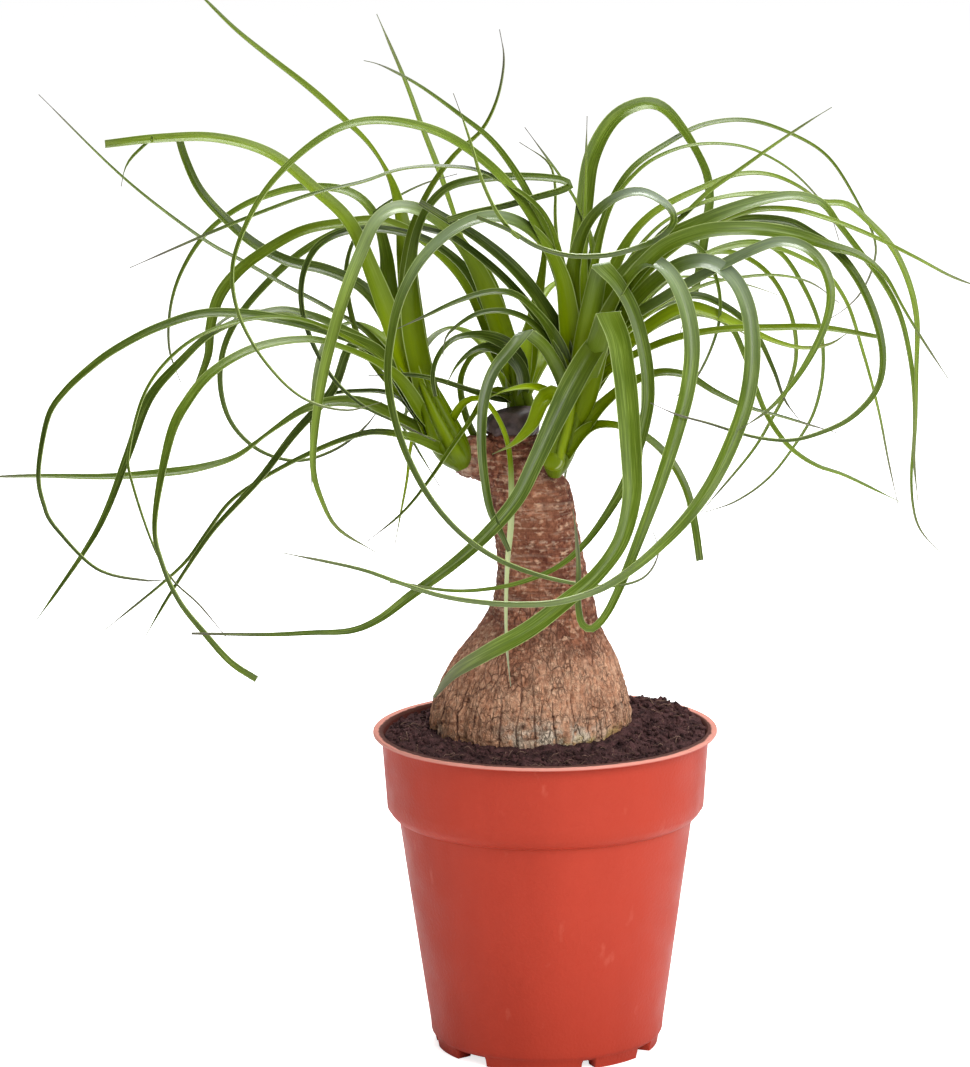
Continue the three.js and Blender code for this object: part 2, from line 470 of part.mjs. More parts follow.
// Trunk: the swollen caudex, furrowed low down, the narrow neck and the stub on its left.
function makeTrunk(grow) {
  const sides = 40;
  const rings = trunkOutline.map(([z, x, radius], k) => {
    const ends = k === 0 ? -grow : 0;
    const top = k === trunkOutline.length - 1 ? grow : 0;
    const centre = place(x, z, trunkDepth);
    const ring = circle(new THREE.Vector3(), 1, sides);
    ring.forEach((p) => {
      const angle = Math.atan2(p.y, p.x);
      const wave = Math.cos(furrows.count * angle + 0.6 * Math.sin(z * 0.11 + 3 * angle));
      const fade = Math.max(0, Math.min(1, (furrows.top - z) / 20));
      const relief = 1 - furrows.depth * fade * Math.max(0, wave) ** 4;
      p.multiplyScalar(radius * relief + grow).add(centre);
      p.z += ends + top;
    });
    return ring;
  });
  const stub = tube(stubOutline, 12, grow);
  return solid(loft(rings)).add(stub);
}

// A round column through points given as x, z, depth and radius.
function tube(outline, sides, grow) {
  const centres = outline.map(([x, z, depth]) => place(x, z, depth));
  const rings = centres.map((centre, k) => {
    const before = centres[Math.max(k - 1, 0)];
    const after = centres[Math.min(k + 1, centres.length - 1)];
    const along = after.clone().sub(before).normalize();
    const across = new THREE.Vector3(0, 1, 0).cross(along).normalize();
    const up = along.clone().cross(across);
    const radius = outline[k][3] + grow;
    return circle(new THREE.Vector3(), radius, sides).map((p) => {
      const point = centre.clone().addScaledVector(across, p.x);
      return point.addScaledVector(up, p.y);
    });
  });
  return solid(loft(rings));
}

// Seal: the dark cap of wound wax that sits over the cut top of the trunk.
function makeSeal(trunkSpace) {
  const sides = 16;
  const rings = sealOutline.map(([z, radius]) => {
    const centre = place(sealCentre, z, trunkDepth);
    const ring = circle(new THREE.Vector3(), radius, sides);
    ring.forEach((p) => {
      const angle = Math.atan2(p.y, p.x);
      p.multiplyScalar(1 + 0.03 * Math.sin(3 * angle + 1) + 0.02 * Math.sin(7 * angle)).add(centre);
    });
    return ring;
  });
  return largestBody(solid(loft(rings)).subtract(trunkSpace));
}

// A leaf's middle line: a smooth curve through its route, then even steps along it.
function evenLine(points) {
  const route = new THREE.CatmullRomCurve3(points, false, 'catmullrom', 0.5);
  const dense = route.getPoints((points.length - 1) * 12);
  const lengths = [0];
  for (let j = 1; j < dense.length; j += 1) lengths.push(lengths[j - 1] + dense[j].distanceTo(dense[j - 1]));
  const total = lengths[lengths.length - 1];
  const count = Math.max(4, Math.round(total / blade.sample));
  const line = [];
  let k = 0;
  for (let n = 0; n <= count; n += 1) {
    const target = (total * n) / count;
    while (k < dense.length - 2 && lengths[k + 1] < target) k += 1;
    const share = (target - lengths[k]) / (lengths[k + 1] - lengths[k]);
    line.push(dense[k].clone().lerp(dense[k + 1], share));
  }
  return { line, total };
}

// A leaf as drawn: its route lies on the sight plane and its depth grows like a sine towards the tip.
function drawnBlade(shoot, [name, seen, reach, route]) {
  const points = [];
  for (let k = 0; k < route.length; k += 2) points.push(new THREE.Vector3(route[k], 0, route[k + 1]));
  const { line, total } = evenLine(points);
  line.forEach((p, n) => {
    const s = n / (line.length - 1);
    p.y = rootDepth[shoot] + reach * Math.sin((s * Math.PI) / 2);
  });
  const scale = 1 / Math.cos(blade.turn * radians);
  const widths = line.map((p, n) => valueAlong(seen, n / (line.length - 1)) * scale);
  return { name, shoot, line, total, widths };
}

// A leaf on the far side: it leans over more and more along its length, and its bearing drifts.
function rearBlade(shoot, k) {
  const [bearing, curl, length, leanRoot, leanTip, width] = rearBlades[shoot][k];
  const steps = Math.round(length / blade.sample);
  const point = place(...rearRoot[shoot], rootDepth[shoot]);
  const line = [];
  const sides = [];
  for (let n = 0; n <= steps; n += 1) {
    const s = n / steps;
    const [x, z, depth] = onPlane(point);
    line.push(new THREE.Vector3(x, depth, z));
    const heading = (bearing + curl * s ** 1.5) * radians;
    const lean = (leanRoot + (leanTip - leanRoot) * s ** 0.85) * radians;
    sides.push(new THREE.Vector3(-Math.sin(heading), Math.cos(heading), 0));
    point.x += (length / steps) * Math.sin(lean) * Math.cos(heading);
    point.y += (length / steps) * Math.sin(lean) * Math.sin(heading);
    point.z += (length / steps) * Math.cos(lean);
  }
  const widths = line.map((p, n) => width * (1 - 0.8 * (n / steps) ** 1.6));
  return { name: `rear${k}`, shoot, line, total: length, widths, sides };
}

// What a leaf must keep clear of: spheres down the trunk and through the other shoots' sheaths.
function blocks() {
  const list = trunkOutline.slice(3).map(([z, x, r]) => ({ x, z, y: trunkDepth, r, shoot: 'none' }));
  stubOutline.forEach(([x, z, y, r]) => list.push({ x, z, y, r, shoot: 'none' }));
  Object.entries(sheaths).forEach(([shoot, outline]) => {
    outline.forEach(([x, z, y, r]) => list.push({ x, z, y, r, shoot }));
  });
  return list;
}

// How far two balls at (x, z, depth) must part in depth: the chord that their reach leaves open.
function partBy(a, b, need) {
  const flat = (a.x - b.x) ** 2 + (a.z - b.z) ** 2;
  if (flat >= need * need) return 0;
  return Math.max(0, Math.sqrt(need * need - flat) - Math.abs(a.y - b.y));
}

function farther(a, b, fallback) {
  return a.y === b.y ? fallback : Math.sign(a.y - b.y);
}

// Leaves of different shoots that would cross are bent clear of each other along the sight line.
function bendClear(blades) {
  const solids = blocks();
  const kernel = Math.round(spread.reach / blade.sample);
  for (let round = 0; round < spread.rounds; round += 1) {
    const pushes = blades.map(({ line }) => [new Float64Array(line.length), new Float64Array(line.length)]);
    const note = (b, n, push) => {
      if (push > 0) pushes[b][0][n] = Math.max(pushes[b][0][n], push);
      else pushes[b][1][n] = Math.min(pushes[b][1][n], push);
    };
    blades.forEach((leaf, b) => {
      leaf.line.forEach((p, n) => {
        solids.forEach((block) => {
          if (block.shoot === leaf.shoot) return;
          const lack = partBy(p, block, block.r + leaf.widths[n] / 2 + spread.margin);
          if (lack > 0) note(b, n, lack * farther(p, block, -1));
        });
      });
      for (let c = b + 1; c < blades.length; c += 1) {
        const other = blades[c];
        if (other.shoot === leaf.shoot) continue;
        leaf.line.forEach((p, n) => {
          other.line.forEach((q, m) => {
            const need = (leaf.widths[n] + other.widths[m]) / 2 + spread.margin;
            if (Math.abs(p.x - q.x) >= need) return;
            const lack = partBy(p, q, need) * spread.share;
            if (lack === 0) return;
            const way = farther(p, q, 1);
            note(b, n, lack * way);
            note(c, m, -lack * way);
          });
        });
      }
    });
    let largest = 0;
    blades.forEach((leaf, b) => {
      largest = Math.max(largest, easeAlong(leaf, pushes[b], kernel));
    });
    if (largest < 0.02) break;
  }
}

// Each push fades out over a stretch of the leaf, and the root stays where it grows.
function easeAlong(leaf, [back, front], kernel) {
  const count = leaf.line.length;
  const moves = new Float64Array(count);
  for (let n = 0; n < count; n += 1) {
    let high = 0;
    let low = 0;
    for (let m = Math.max(0, n - kernel); m <= Math.min(count - 1, n + kernel); m += 1) {
      const fade = Math.cos((Math.PI / 2) * ((m - n) / (kernel + 1))) ** 2;
      high = Math.max(high, back[m] * fade);
      low = Math.min(low, front[m] * fade);
    }
    const fromRoot = (leaf.total * n) / (count - 1);
    moves[n] = (high + low) * Math.min(1, fromRoot / spread.rooted);
  }
  let largest = 0;
  leaf.line.forEach((p, n) => {
    p.y += moves[n];
    largest = Math.max(largest, Math.abs(moves[n]));
  });
  return largest;
}

// The few points of a line that keep its shape: a chord ends where the line bows away from it.
function keptPoints(points) {
  const kept = [0];
  let from = 0;
  for (let n = 2; n < points.length; n += 1) {
    const chord = new THREE.Line3(points[from], points[n]);
    const nearest = new THREE.Vector3();
    let bow = 0;
    for (let m = from + 1; m < n; m += 1) {
      chord.closestPointToPoint(points[m], true, nearest);
      bow = Math.max(bow, nearest.distanceTo(points[m]));
    }
    if (bow > blade.bow || chord.distance() > blade.longest) {
      kept.push(n - 1);
      from = n - 1;
    }
  }
  kept.push(points.length - 1);
  return kept;
}

// A strap with three edges: two margins and a keel, turned part of the way out of the picture.
function bladeSolid(leaf) {
  const points = leaf.line.map((p) => place(p.x, p.z, p.y));
  const from = new THREE.Vector3(0, -eye.distance, eye.height);
  let last = null;
  const rings = keptPoints(points).map((n) => {
    const point = points[n];
    const after = points[Math.min(n + 1, points.length - 1)];
    const along = after.clone().sub(points[Math.max(n - 1, 0)]).normalize();
    const sight = point.clone().sub(from).normalize();
    let across = leaf.sides ? leaf.sides[n].clone() : along.clone().cross(sight);
    across.addScaledVector(along, -across.dot(along));
    if (across.length() < 0.2 && last) across = last.clone().addScaledVector(along, -last.dot(along));
    across.normalize();
    last = across.clone();
    if (!leaf.sides) across.applyAxisAngle(along, blade.turn * radians);
    const out = across.clone().cross(along);
    const width = Math.max(leaf.widths[n], blade.narrowest);
    const keel = blade.keel * width + blade.keelLeast;
    return [
      point.clone().addScaledVector(across, width / 2).addScaledVector(out, keel / 3),
      point.clone().addScaledVector(across, -width / 2).addScaledVector(out, keel / 3),
      point.clone().addScaledVector(out, (-2 * keel) / 3),
    ];
  });
  return solid(loft(rings));
}

function makeShoot(shoot, blades, standing) {
  const own = blades.filter((leaf) => leaf.shoot === shoot);
  const whole = own.reduce((sum, leaf) => sum.add(bladeSolid(leaf)), tube(sheaths[shoot], 10, 0));
  return largestBody(standing.reduce((rest, space) => rest.subtract(space), whole));
}

function makePlant() {
  const plant = new THREE.Group();
  const trunk = makeTrunk(0);
  const trunkSpace = makeTrunk(gap);
  const seal = makeSeal(trunkSpace);
  const blades = [];
  Object.keys(sheaths).forEach((shoot) => {
    drawnLeaves[shoot].forEach((entry) => blades.push(drawnBlade(shoot, entry)));
    rearBlades[shoot].forEach((rule, k) => blades.push(rearBlade(shoot, k)));
  });
  bendClear(blades);
  plant.add(named('pot', makePot()));
  plant.add(named('soil', makeSoil(trunkSpace)));
  plant.add(named('trunk', trunk));
  plant.add(named('cut_seal', seal));
  Object.keys(sheaths).forEach((shoot) => {
    plant.add(named(`shoot_${shoot}`, makeShoot(shoot, blades, [trunkSpace, seal])));
  });
  return plant;
}

export default makePlant();
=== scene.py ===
import math

import bpy
import numpy as np
from mathutils import Matrix


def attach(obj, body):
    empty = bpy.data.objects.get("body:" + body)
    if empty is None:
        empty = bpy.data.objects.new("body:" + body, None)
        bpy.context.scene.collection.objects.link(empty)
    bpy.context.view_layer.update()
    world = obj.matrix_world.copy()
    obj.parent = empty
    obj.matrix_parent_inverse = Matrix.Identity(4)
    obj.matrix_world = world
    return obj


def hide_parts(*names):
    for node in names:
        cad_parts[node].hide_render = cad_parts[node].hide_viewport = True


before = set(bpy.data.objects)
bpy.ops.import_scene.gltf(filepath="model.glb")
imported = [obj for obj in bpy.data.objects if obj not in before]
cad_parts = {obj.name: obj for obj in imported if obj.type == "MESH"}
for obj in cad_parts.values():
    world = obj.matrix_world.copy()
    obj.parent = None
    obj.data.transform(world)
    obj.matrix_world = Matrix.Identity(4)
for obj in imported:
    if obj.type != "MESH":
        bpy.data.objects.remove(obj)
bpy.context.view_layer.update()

mm = 0.001
degrees = math.pi / 180
print("frame loaded:", sorted(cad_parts))

view = {
    "distance": 1.6, "height": 0.49524, "yaw": -0.013748, "pitch": 0.18435, "roll": -0.0090927,
    "lens": 146.48, "near": 0.05,
}


def place(name, data, axes, location):
    # an object whose own x, y and z run along the three axes
    turned = Matrix(np.column_stack(axes).tolist()).to_4x4()
    turned.translation = location
    holder = bpy.data.objects.new(name, data)
    holder.matrix_world = turned
    bpy.context.scene.collection.objects.link(holder)
    return holder


def addCamera():
    # at the photo's eye point, turned as the pot's ellipses say
    yaw, pitch, roll = view["yaw"], view["pitch"], view["roll"]
    forward = np.array([math.sin(yaw) * math.cos(pitch), math.cos(yaw) * math.cos(pitch), -math.sin(pitch)])
    level = np.array([math.cos(yaw), -math.sin(yaw), 0.0])
    upright = np.cross(level, forward)
    right = math.cos(roll) * level + math.sin(roll) * upright
    up = math.cos(roll) * upright - math.sin(roll) * level
    lens = bpy.data.cameras.new("camera")
    lens.lens, lens.clip_start = view["lens"], view["near"]
    eye = (0.0, -view["distance"], view["height"])
    bpy.context.scene.camera = place("camera", lens, (right, up, -forward), eye)


addCamera()
print("camera placed")


# meshes from whole arrays: a shell is (points in millimetres, quads, triangles, values per point)
def gridFaces(rows, columns):
    # quads between neighbouring rows; the last column joins the first
    column = np.arange(columns)
    start = columns * np.arange(rows - 1)[:, None]
    here, after = start + column, start + (column + 1) % columns
    return np.stack([here, after, after + columns, here + columns], -1).reshape(-1, 4)


def closedLoft(rings, **values):
    # rings is rows x columns x 3: quads round the sides and a fan to a middle point at each end;
    # a value spreads over the same grid, and each middle point takes the first number of its ring
    rows, columns = rings.shape[:2]
    points = np.concatenate([rings.reshape(-1, 3), rings[0].mean(0)[None], rings[-1].mean(0)[None]])
    here = np.arange(columns)
    after = (here + 1) % columns
    last = (rows - 1) * columns
    first = np.stack([after, here, np.full(columns, rows * columns)], -1)
    final = np.stack([last + here, last + after, np.full(columns, rows * columns + 1)], -1)
    flat = {}
    for key, value in values.items():
        grid = np.broadcast_to(value, (rows, columns))
        flat[key] = np.concatenate([grid.ravel(), [grid[0, 0], grid[-1, 0]]])
    return points, gridFaces(rows, columns), np.concatenate([first, final]), flat


def makeMesh(name, shell, sharp=None):
    points, quads, triangles, values = shell
    mesh = bpy.data.meshes.new(name)
    mesh.vertices.add(len(points))
    mesh.vertices.foreach_set("co", (points * mm).astype(np.float32).ravel())
    corners = np.concatenate([quads.ravel(), triangles.ravel()]).astype(np.int32)
    totals = np.repeat([4, 3], [len(quads), len(triangles)])
    mesh.loops.add(len(corners))
    mesh.loops.foreach_set("vertex_index", corners)
    mesh.polygons.add(len(totals))
    mesh.polygons.foreach_set("loop_start", (np.cumsum(totals) - totals).astype(np.int32))
    mesh.polygons.foreach_set("use_smooth", np.ones(len(totals), bool))
    mesh.update(calc_edges=True)
    for key, array in values.items():
        mesh.attributes.new(key, "FLOAT", "POINT").data.foreach_set("value", array.astype(np.float32))
    if sharp:
        mesh.set_sharp_from_angle(angle=sharp * degrees)
    mesh.validate()
    piece = bpy.data.objects.new(name, mesh)
    bpy.context.scene.collection.objects.link(piece)
    return piece


def joinShells(shells):
    points, quads, triangles, values = zip(*shells)
    shifts = np.cumsum([0] + [len(part) for part in points[:-1]])
    faces = [np.concatenate([part + shift for part, shift in zip(group, shifts)])
             for group in (quads, triangles)]
    joined = {key: np.concatenate([part[key] for part in values]) for key in values[0]}
    return np.concatenate(points), *faces, joined


def dress(piece, material, nodeName):
    piece.data.materials.clear()
    piece.data.materials.append(material)
    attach(piece, "root")
    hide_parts(nodeName)


def circle(sides):
    return 2 * math.pi * np.arange(sides) / sides


def ringPoints(centres, radii, sides):
    # level circles about centres, or about heights on the middle line; radii are n or n x sides
    if np.ndim(centres) == 1:
        centres = np.column_stack([0 * centres, 0 * centres, centres])
    radii = np.broadcast_to(np.asarray(radii).reshape(len(centres), -1), (len(centres), sides))
    angle = circle(sides)
    return np.stack([np.cos(angle) * radii, np.sin(angle) * radii, 0 * radii], -1) + centres[:, None, :]


def copies(faces, stride, count):
    return (faces + stride * np.arange(count)[:, None, None]).reshape(-1, faces.shape[1])


def softStep(low, high, x):
    # 0 at low and 1 at high, eased; low may be the greater
    t = np.clip((x - low) / (high - low), 0, 1)
    return t * t * (3 - 2 * t)


def bell(x, width):
    return np.exp(-(x / width) ** 2)


def unit(rows):
    return rows / np.linalg.norm(rows, axis=-1, keepdims=True)


def spreadOut(row, at):
    # the numbers of a row, evenly spaced from 0 to 1, read at other places
    return np.interp(at, np.linspace(0, 1, len(row)), row)


def hashed(i, j, k, seed):
    wave = np.sin(i * 127.1 + j * 311.7 + k * 74.7 + seed * 19.19) * 43758.5453
    return wave - np.floor(wave)


def valueNoise(points, seed):
    # random values on a unit lattice, eased between the eight corners round each point; 0 to 1
    cell = np.floor(points)
    part = softStep(0, 1, points - cell)
    total = 0
    for step in np.ndindex(2, 2, 2):
        weight = np.prod(np.where(step, part, 1 - part), axis=-1)
        total = total + weight * hashed(*np.moveaxis(cell + step, -1, 0), seed)
    return total


def layered(points, scale, layers, seed):
    # value noise at doubling fineness and halving strength, about -1 to 1
    points = points * np.array(scale)
    shares = 0.5 ** np.arange(layers)
    noise = [share * (2 * valueNoise(points / share, seed + k) - 1) for k, share in enumerate(shares)]
    return sum(noise) / shares.sum()


def patchy(low, high, points, scale, layers, seed):
    return softStep(low, high, layered(points, scale, layers, seed))


# materials: the helpers add to the tree that was begun last
building = {}


def fill(sockets, values):
    # a number or colour goes on its socket, and another node's output is linked
    for key, value in values.items():
        socket = sockets[key]
        if isinstance(value, bpy.types.NodeSocket):
            building["tree"].links.new(value, socket)
        else:
            socket.default_value = (*value, 1.0) if socket.type == "RGBA" else value


def add(kind, result, inputs={}, **settings):
    node = building["tree"].nodes.new("ShaderNode" + kind)
    for key, value in settings.items():
        setattr(node, key, value)
    fill(node.inputs, inputs)
    return node.outputs[result]


def ramp(value, low, high, start=0.0, end=1.0):
    return add("MapRange", "Result", {"Value": value, "From Min": low, "From Max": high, "To Min": start,
                                      "To Max": end})


def buildSoftNoise():
    # noise on the piece's own coordinates, stretched, then cut to a mask between low and high
    group = bpy.data.node_groups.new("softNoise", "ShaderNodeTree")
    kinds = {"stretch": "Vector", "scale": "Float", "detail": "Float", "low": "Float", "high": "Float",
             "mask": "Float"}
    for key, kind in kinds.items():
        way = "OUTPUT" if key == "mask" else "INPUT"
        group.interface.new_socket(key, in_out=way, socket_type="NodeSocket" + kind)
    building["tree"] = group
    given = group.nodes.new("NodeGroupInput").outputs
    stretched = add("Mapping", "Vector", {"Vector": add("TexCoord", "Object"), "Scale": given["stretch"]})
    noise = add("TexNoise", "Fac", {"Vector": stretched, "Scale": given["scale"], "Detail": given["detail"]})
    cut = add("MapRange", "Result", {"Value": noise, "From Min": given["low"], "From Max": given["high"]})
    fill(group.nodes.new("NodeGroupOutput").inputs, {"mask": cut})
    return group


softNoise = buildSoftNoise()


def noiseMask(scale, low=0.35, high=0.65, stretch=(1, 1, 1), detail=4.0):
    values = {"stretch": stretch, "scale": scale, "detail": detail, "low": low, "high": high}
    return add("Group", "mask", values, node_tree=softNoise)


def newMaterial(name, specular):
    material = bpy.data.materials.new(name)
    material.use_nodes = True
    building["tree"] = material.node_tree
    shader = material.node_tree.nodes["Principled BSDF"].inputs
    fill(shader, {"Specular IOR Level": specular})
    return material, shader


def tint(mask, below, above):
    # a colour that goes from below to above as the mask goes from 0 to 1
    return add("Mix", 2, {0: mask, 6: below, 7: above}, data_type="RGBA")


def combine(kind, first, second=0.0):
    return add("Math", "Value", {0: first, 1: second}, operation=kind)


def times(first, second):
    return combine("MULTIPLY", first, second)


def pointValue(name):
    return add("Attribute", "Fac", attribute_name=name)


def axis(name):
    return add("SeparateXYZ", name, {"Vector": add("TexCoord", "Object")})


def bump(height, distance):
    return add("Bump", "Normal", {"Height": height, "Distance": distance, "Strength": 1.0})


def linear(colour):
    # 0-255 screen numbers to scene-linear
    part = np.array(colour) / 255.0
    return tuple(np.where(part <= 0.04045, part / 12.92, ((part + 0.055) / 1.055) ** 2.4))


pot = {
    "sides": 720, "rimTop": 122, "drainRadius": 4, "drainCircle": 24, "drains": 6, "footInner": 36.1,
    "footOuter": 42.2,
    # the turned profile as (radius, height): the underside, the lip's lower edge, and the inside down to
    # the floor
    "under": [(0.01, 0), (8.7, 0), (9, 0.3), (9.1, 3), (20, 3), (30, 3), (36, 3), (36.25, 3), (36.5, 3),
              (38.5, 3), (40.2, 3)],
    "lipUnder": [(61.95, 120.1), (62.4, 120.6), (64.7, 120.6), (65, 120.95)],
    "inside": [(61.7, 122), (61.2, 121.5), (59.9, 112), (58.7, 94.4), (54.3, 89.5), (42.9, 8.8), (39.3, 4.8),
               (20, 4.8), (0.01, 4.8)],
    "footArcs": [(-77, -52), (-33, 18), (25, 53), (66, 92), (104, 131), (141, 168), (176, 206), (218, 248),
                 (257, 273)],
    "red": (0.47, 0.05, 0.026), "deep": (0.385, 0.038, 0.019), "lip": (0.68, 0.31, 0.25),
    "shadeAndDust": (0.045, 0.018, 0.014),
    "scuff": (0.72, 0.2, 0.14),
}


def potOutline():
    # from the middle of the underside, up the outside, over the lip and down to the floor
    a, b, c = np.linspace(0.1, 1.45, 7), np.linspace(0, 1.35, 8), np.linspace(0, math.pi / 2, 6)
    corner = np.column_stack([40 + 4.2 * np.sin(a), 6.4 - 3.4 * np.cos(a)])
    body = np.linspace((44.314, 8.312), (55.6, 88.7), 12)
    shoulder = np.column_stack([55.6 + 2.2 * np.sin(b) + 0.9 * b, 90.2 - 1.5 * np.cos(b) + 1.2 * b])
    collar = np.linspace((60, 93), (61.8, 119.5), 7)
    lipEdge = np.column_stack([64.5 + 0.5 * np.cos(c), 121.5 + 0.5 * np.sin(c)])
    parts = [pot["under"], corner, body, shoulder, collar, pot["lipUnder"], lipEdge, pot["inside"]]
    return np.concatenate(parts)


def makePot():
    # the feet are the parts of the underside that drop to the ground between given angles
    outline = potOutline()
    fromFront = np.degrees(circle(pot["sides"])) + 90
    foot = 0
    for start, end in pot["footArcs"]:
        away = np.abs(np.mod(fromFront - (start + end) / 2 + 180, 360) - 180)
        foot = np.maximum(foot, softStep((end - start) / 2 + 0.3, (end - start) / 2 - 0.5, away))
    rings = ringPoints(outline[:, 1], outline[:, 0], pot["sides"])
    radius, height = outline[:, :1], outline[:, 1:]
    inFoot = (radius > pot["footInner"]) & (radius < pot["footOuter"]) & (height < 4.5)
    drop = inFoot * foot * softStep(36, 36.4, radius)
    rings[..., 2] -= np.maximum(0, rings[..., 2] - 0.02) * drop
    rings[..., :2] *= 1 + 0.002 * layered(rings, 0.02, 2, 3)[..., None]  # a moulded wall is never quite true
    return makeMesh("potShell", closedLoft(rings), sharp=38)


def cutDrains(piece):
    drills = []
    for turn in circle(pot["drains"]) + math.pi / pot["drains"]:
        x, y = pot["drainCircle"] * math.cos(turn), pot["drainCircle"] * math.sin(turn)
        ends = np.array([[x, y, -5], [x, y, 12]])
        drills.append(closedLoft(ringPoints(ends, [pot["drainRadius"]] * 2, 32)))
    drill = makeMesh("drill", joinShells(drills))
    modifier = piece.modifiers.new("drain", "BOOLEAN")
    modifier.operation, modifier.object, modifier.solver = "DIFFERENCE", drill, "EXACT"
    bpy.context.view_layer.objects.active = piece
    bpy.ops.object.modifier_apply(modifier=modifier.name)
    bpy.data.objects.remove(drill)


def potMaterial():
    material, shader = newMaterial("pot", 0.14)
    x, y, z = axis("X"), axis("Y"), axis("Z")
    body = tint(noiseMask(26.0, 0.3, 0.75, (1, 1, 0.25)), pot["deep"], pot["red"])
    body = tint(times(noiseMask(150.0, 0.66, 0.76, (1, 1, 0.5)), 0.16), body, pot["scuff"])
    # painted light: the lip's top is tinted paler pink, as light shining through the thin rim would show
    body = tint(ramp(z, 0.1207, 0.1212, 0.0, 0.85), body, pot["lip"])
    # painted shade down the inner wall, and peat dust over the lip's top towards the front, both near black
    onTop = combine("ADD", ramp(y, 0.02, -0.045, 0.0622, 0.0644),
                    ramp(noiseMask(240.0, 0.3, 0.7), 0, 1, -0.0004, 0.0003))
    wall = combine("ADD", ramp(z, 0.112, 0.1204, 0.0602, 0.0614), ramp(z, 0.1204, 0.1208, 0.0, 0.005))
    spread = combine("SQRT", combine("ADD", times(x, x), times(y, y)))
    dustAndShade = ramp(combine("SUBTRACT", combine("MINIMUM", onTop, wall), spread), -0.0002, 0.0003)
    dustAndShade = times(dustAndShade, ramp(z, 0.11, 0.112, 0.0, 0.9))
    fill(shader, {"Base Color": tint(dustAndShade, body, pot["shadeAndDust"]),
                  "Roughness": ramp(noiseMask(70.0), 0.0, 1.0, 0.38, 0.52),
                  "Normal": bump(noiseMask(900.0, 0.2, 0.8), 0.00008), "Subsurface Weight": 0.04,
                  "Subsurface Radius": (0.004, 0.0012, 0.0008)})
    return material


potShell = makePot()
cutDrains(potShell)
dress(potShell, potMaterial(), "pot")
print("pot made")

peat = {
    "level": 120.2, "slope": 0.01, "mound": 3.8, "moundX": 39, "moundY": 29, "moundWidth": 18, "lump": 0.6,
    "edge": 60.5, "sides": 260, "rows": 110, "crumbs": 2600, "fibres": 150, "seed": 11,
    "wall": np.array([(39, 5.1), (42.6, 9.1), (54, 89.5), (58.4, 94.4), (59.6, 112)]),  # radius and height
    "dark": (0.022, 0.0088, 0.0096), "brown": (0.1, 0.044, 0.044), "fleck": (0.15, 0.085, 0.06),
    "fibre": (0.26, 0.16, 0.12), "fibreDark": (0.1, 0.055, 0.04),
}


def peatHeight(x, y):
    # a sloping bed with one heap, low lumps and clods that fade out at the wall
    far = np.hypot(x - peat["moundX"], y - peat["moundY"])
    lumps = np.sin(x * 0.43 + 1.3) * np.cos(y * 0.51) + 0.6 * np.sin(x * 0.19 - y * 0.83)
    heap = peat["mound"] * bell(far, math.sqrt(2) * peat["moundWidth"])
    grain = np.stack([x, y, 0 * x], -1)
    clods = layered(grain, 0.28, 4, 5) * 1.5 + layered(grain, 1.1, 3, 9) * 0.75
    clods = clods * softStep(60.5, 56, np.hypot(x, y))
    return peat["level"] + peat["slope"] * x + heap + peat["lump"] * lumps + clods


def peatShell():
    # the filled cup up to its edge, then the bed's height over rings that close in to the middle
    share = np.linspace(1, 0.02, peat["rows"]) ** 0.9
    top = ringPoints(0 * share, peat["edge"] * share, peat["sides"])
    top[..., 2] = peatHeight(top[..., 0], top[..., 1])
    top[0, :, 2] = np.minimum(top[0, :, 2], pot["rimTop"] - 1)
    cup = ringPoints(peat["wall"][:, 1], peat["wall"][:, 0], peat["sides"])
    return closedLoft(np.concatenate([cup, top]))


def icosahedron():
    # the corners of three golden rectangles, and the outward triples of corners that are one edge apart
    golden = (1 + math.sqrt(5)) / 2
    flat = [(-1, golden, 0), (1, golden, 0), (-1, -golden, 0), (1, -golden, 0)]
    corners = np.concatenate([np.roll(flat, k, axis=1) for k in range(3)])
    near = np.isclose(np.linalg.norm(corners[:, None] - corners, axis=-1), 2)
    faces = [(i, j, k) for i, j, k in np.ndindex(12, 12, 12)
             if i < min(j, k) and near[i, j] and near[j, k] and near[k, i]
             and np.linalg.det(corners[[i, j, k]]) > 0]
    return unit(corners), np.array(faces)


def crumbShell(draw):
    # small clods, each squeezed corner by corner and half sunk in the bed
    count = peat["crumbs"]
    radius = peat["edge"] * np.sqrt(draw.uniform(0.3, 0.97, count))
    turn = draw.uniform(0, 2 * math.pi, count)
    x, y = radius * np.cos(turn), radius * np.sin(turn)
    size = draw.uniform(0.3, 1.0, count) ** 3 * 1.1 + 0.22
    shape, faces = icosahedron()
    squeeze = draw.uniform(0.6, 1.3, (count, 12, 1)) * draw.uniform(0.7, 1.2, (count, 1, 3))
    points = shape * squeeze * size[:, None, None]
    points += np.stack([x, y, peatHeight(x, y) + 0.25 * size], -1)[:, None]
    return points.reshape(-1, 3), np.zeros((0, 4), int), copies(faces, 12, count), {}


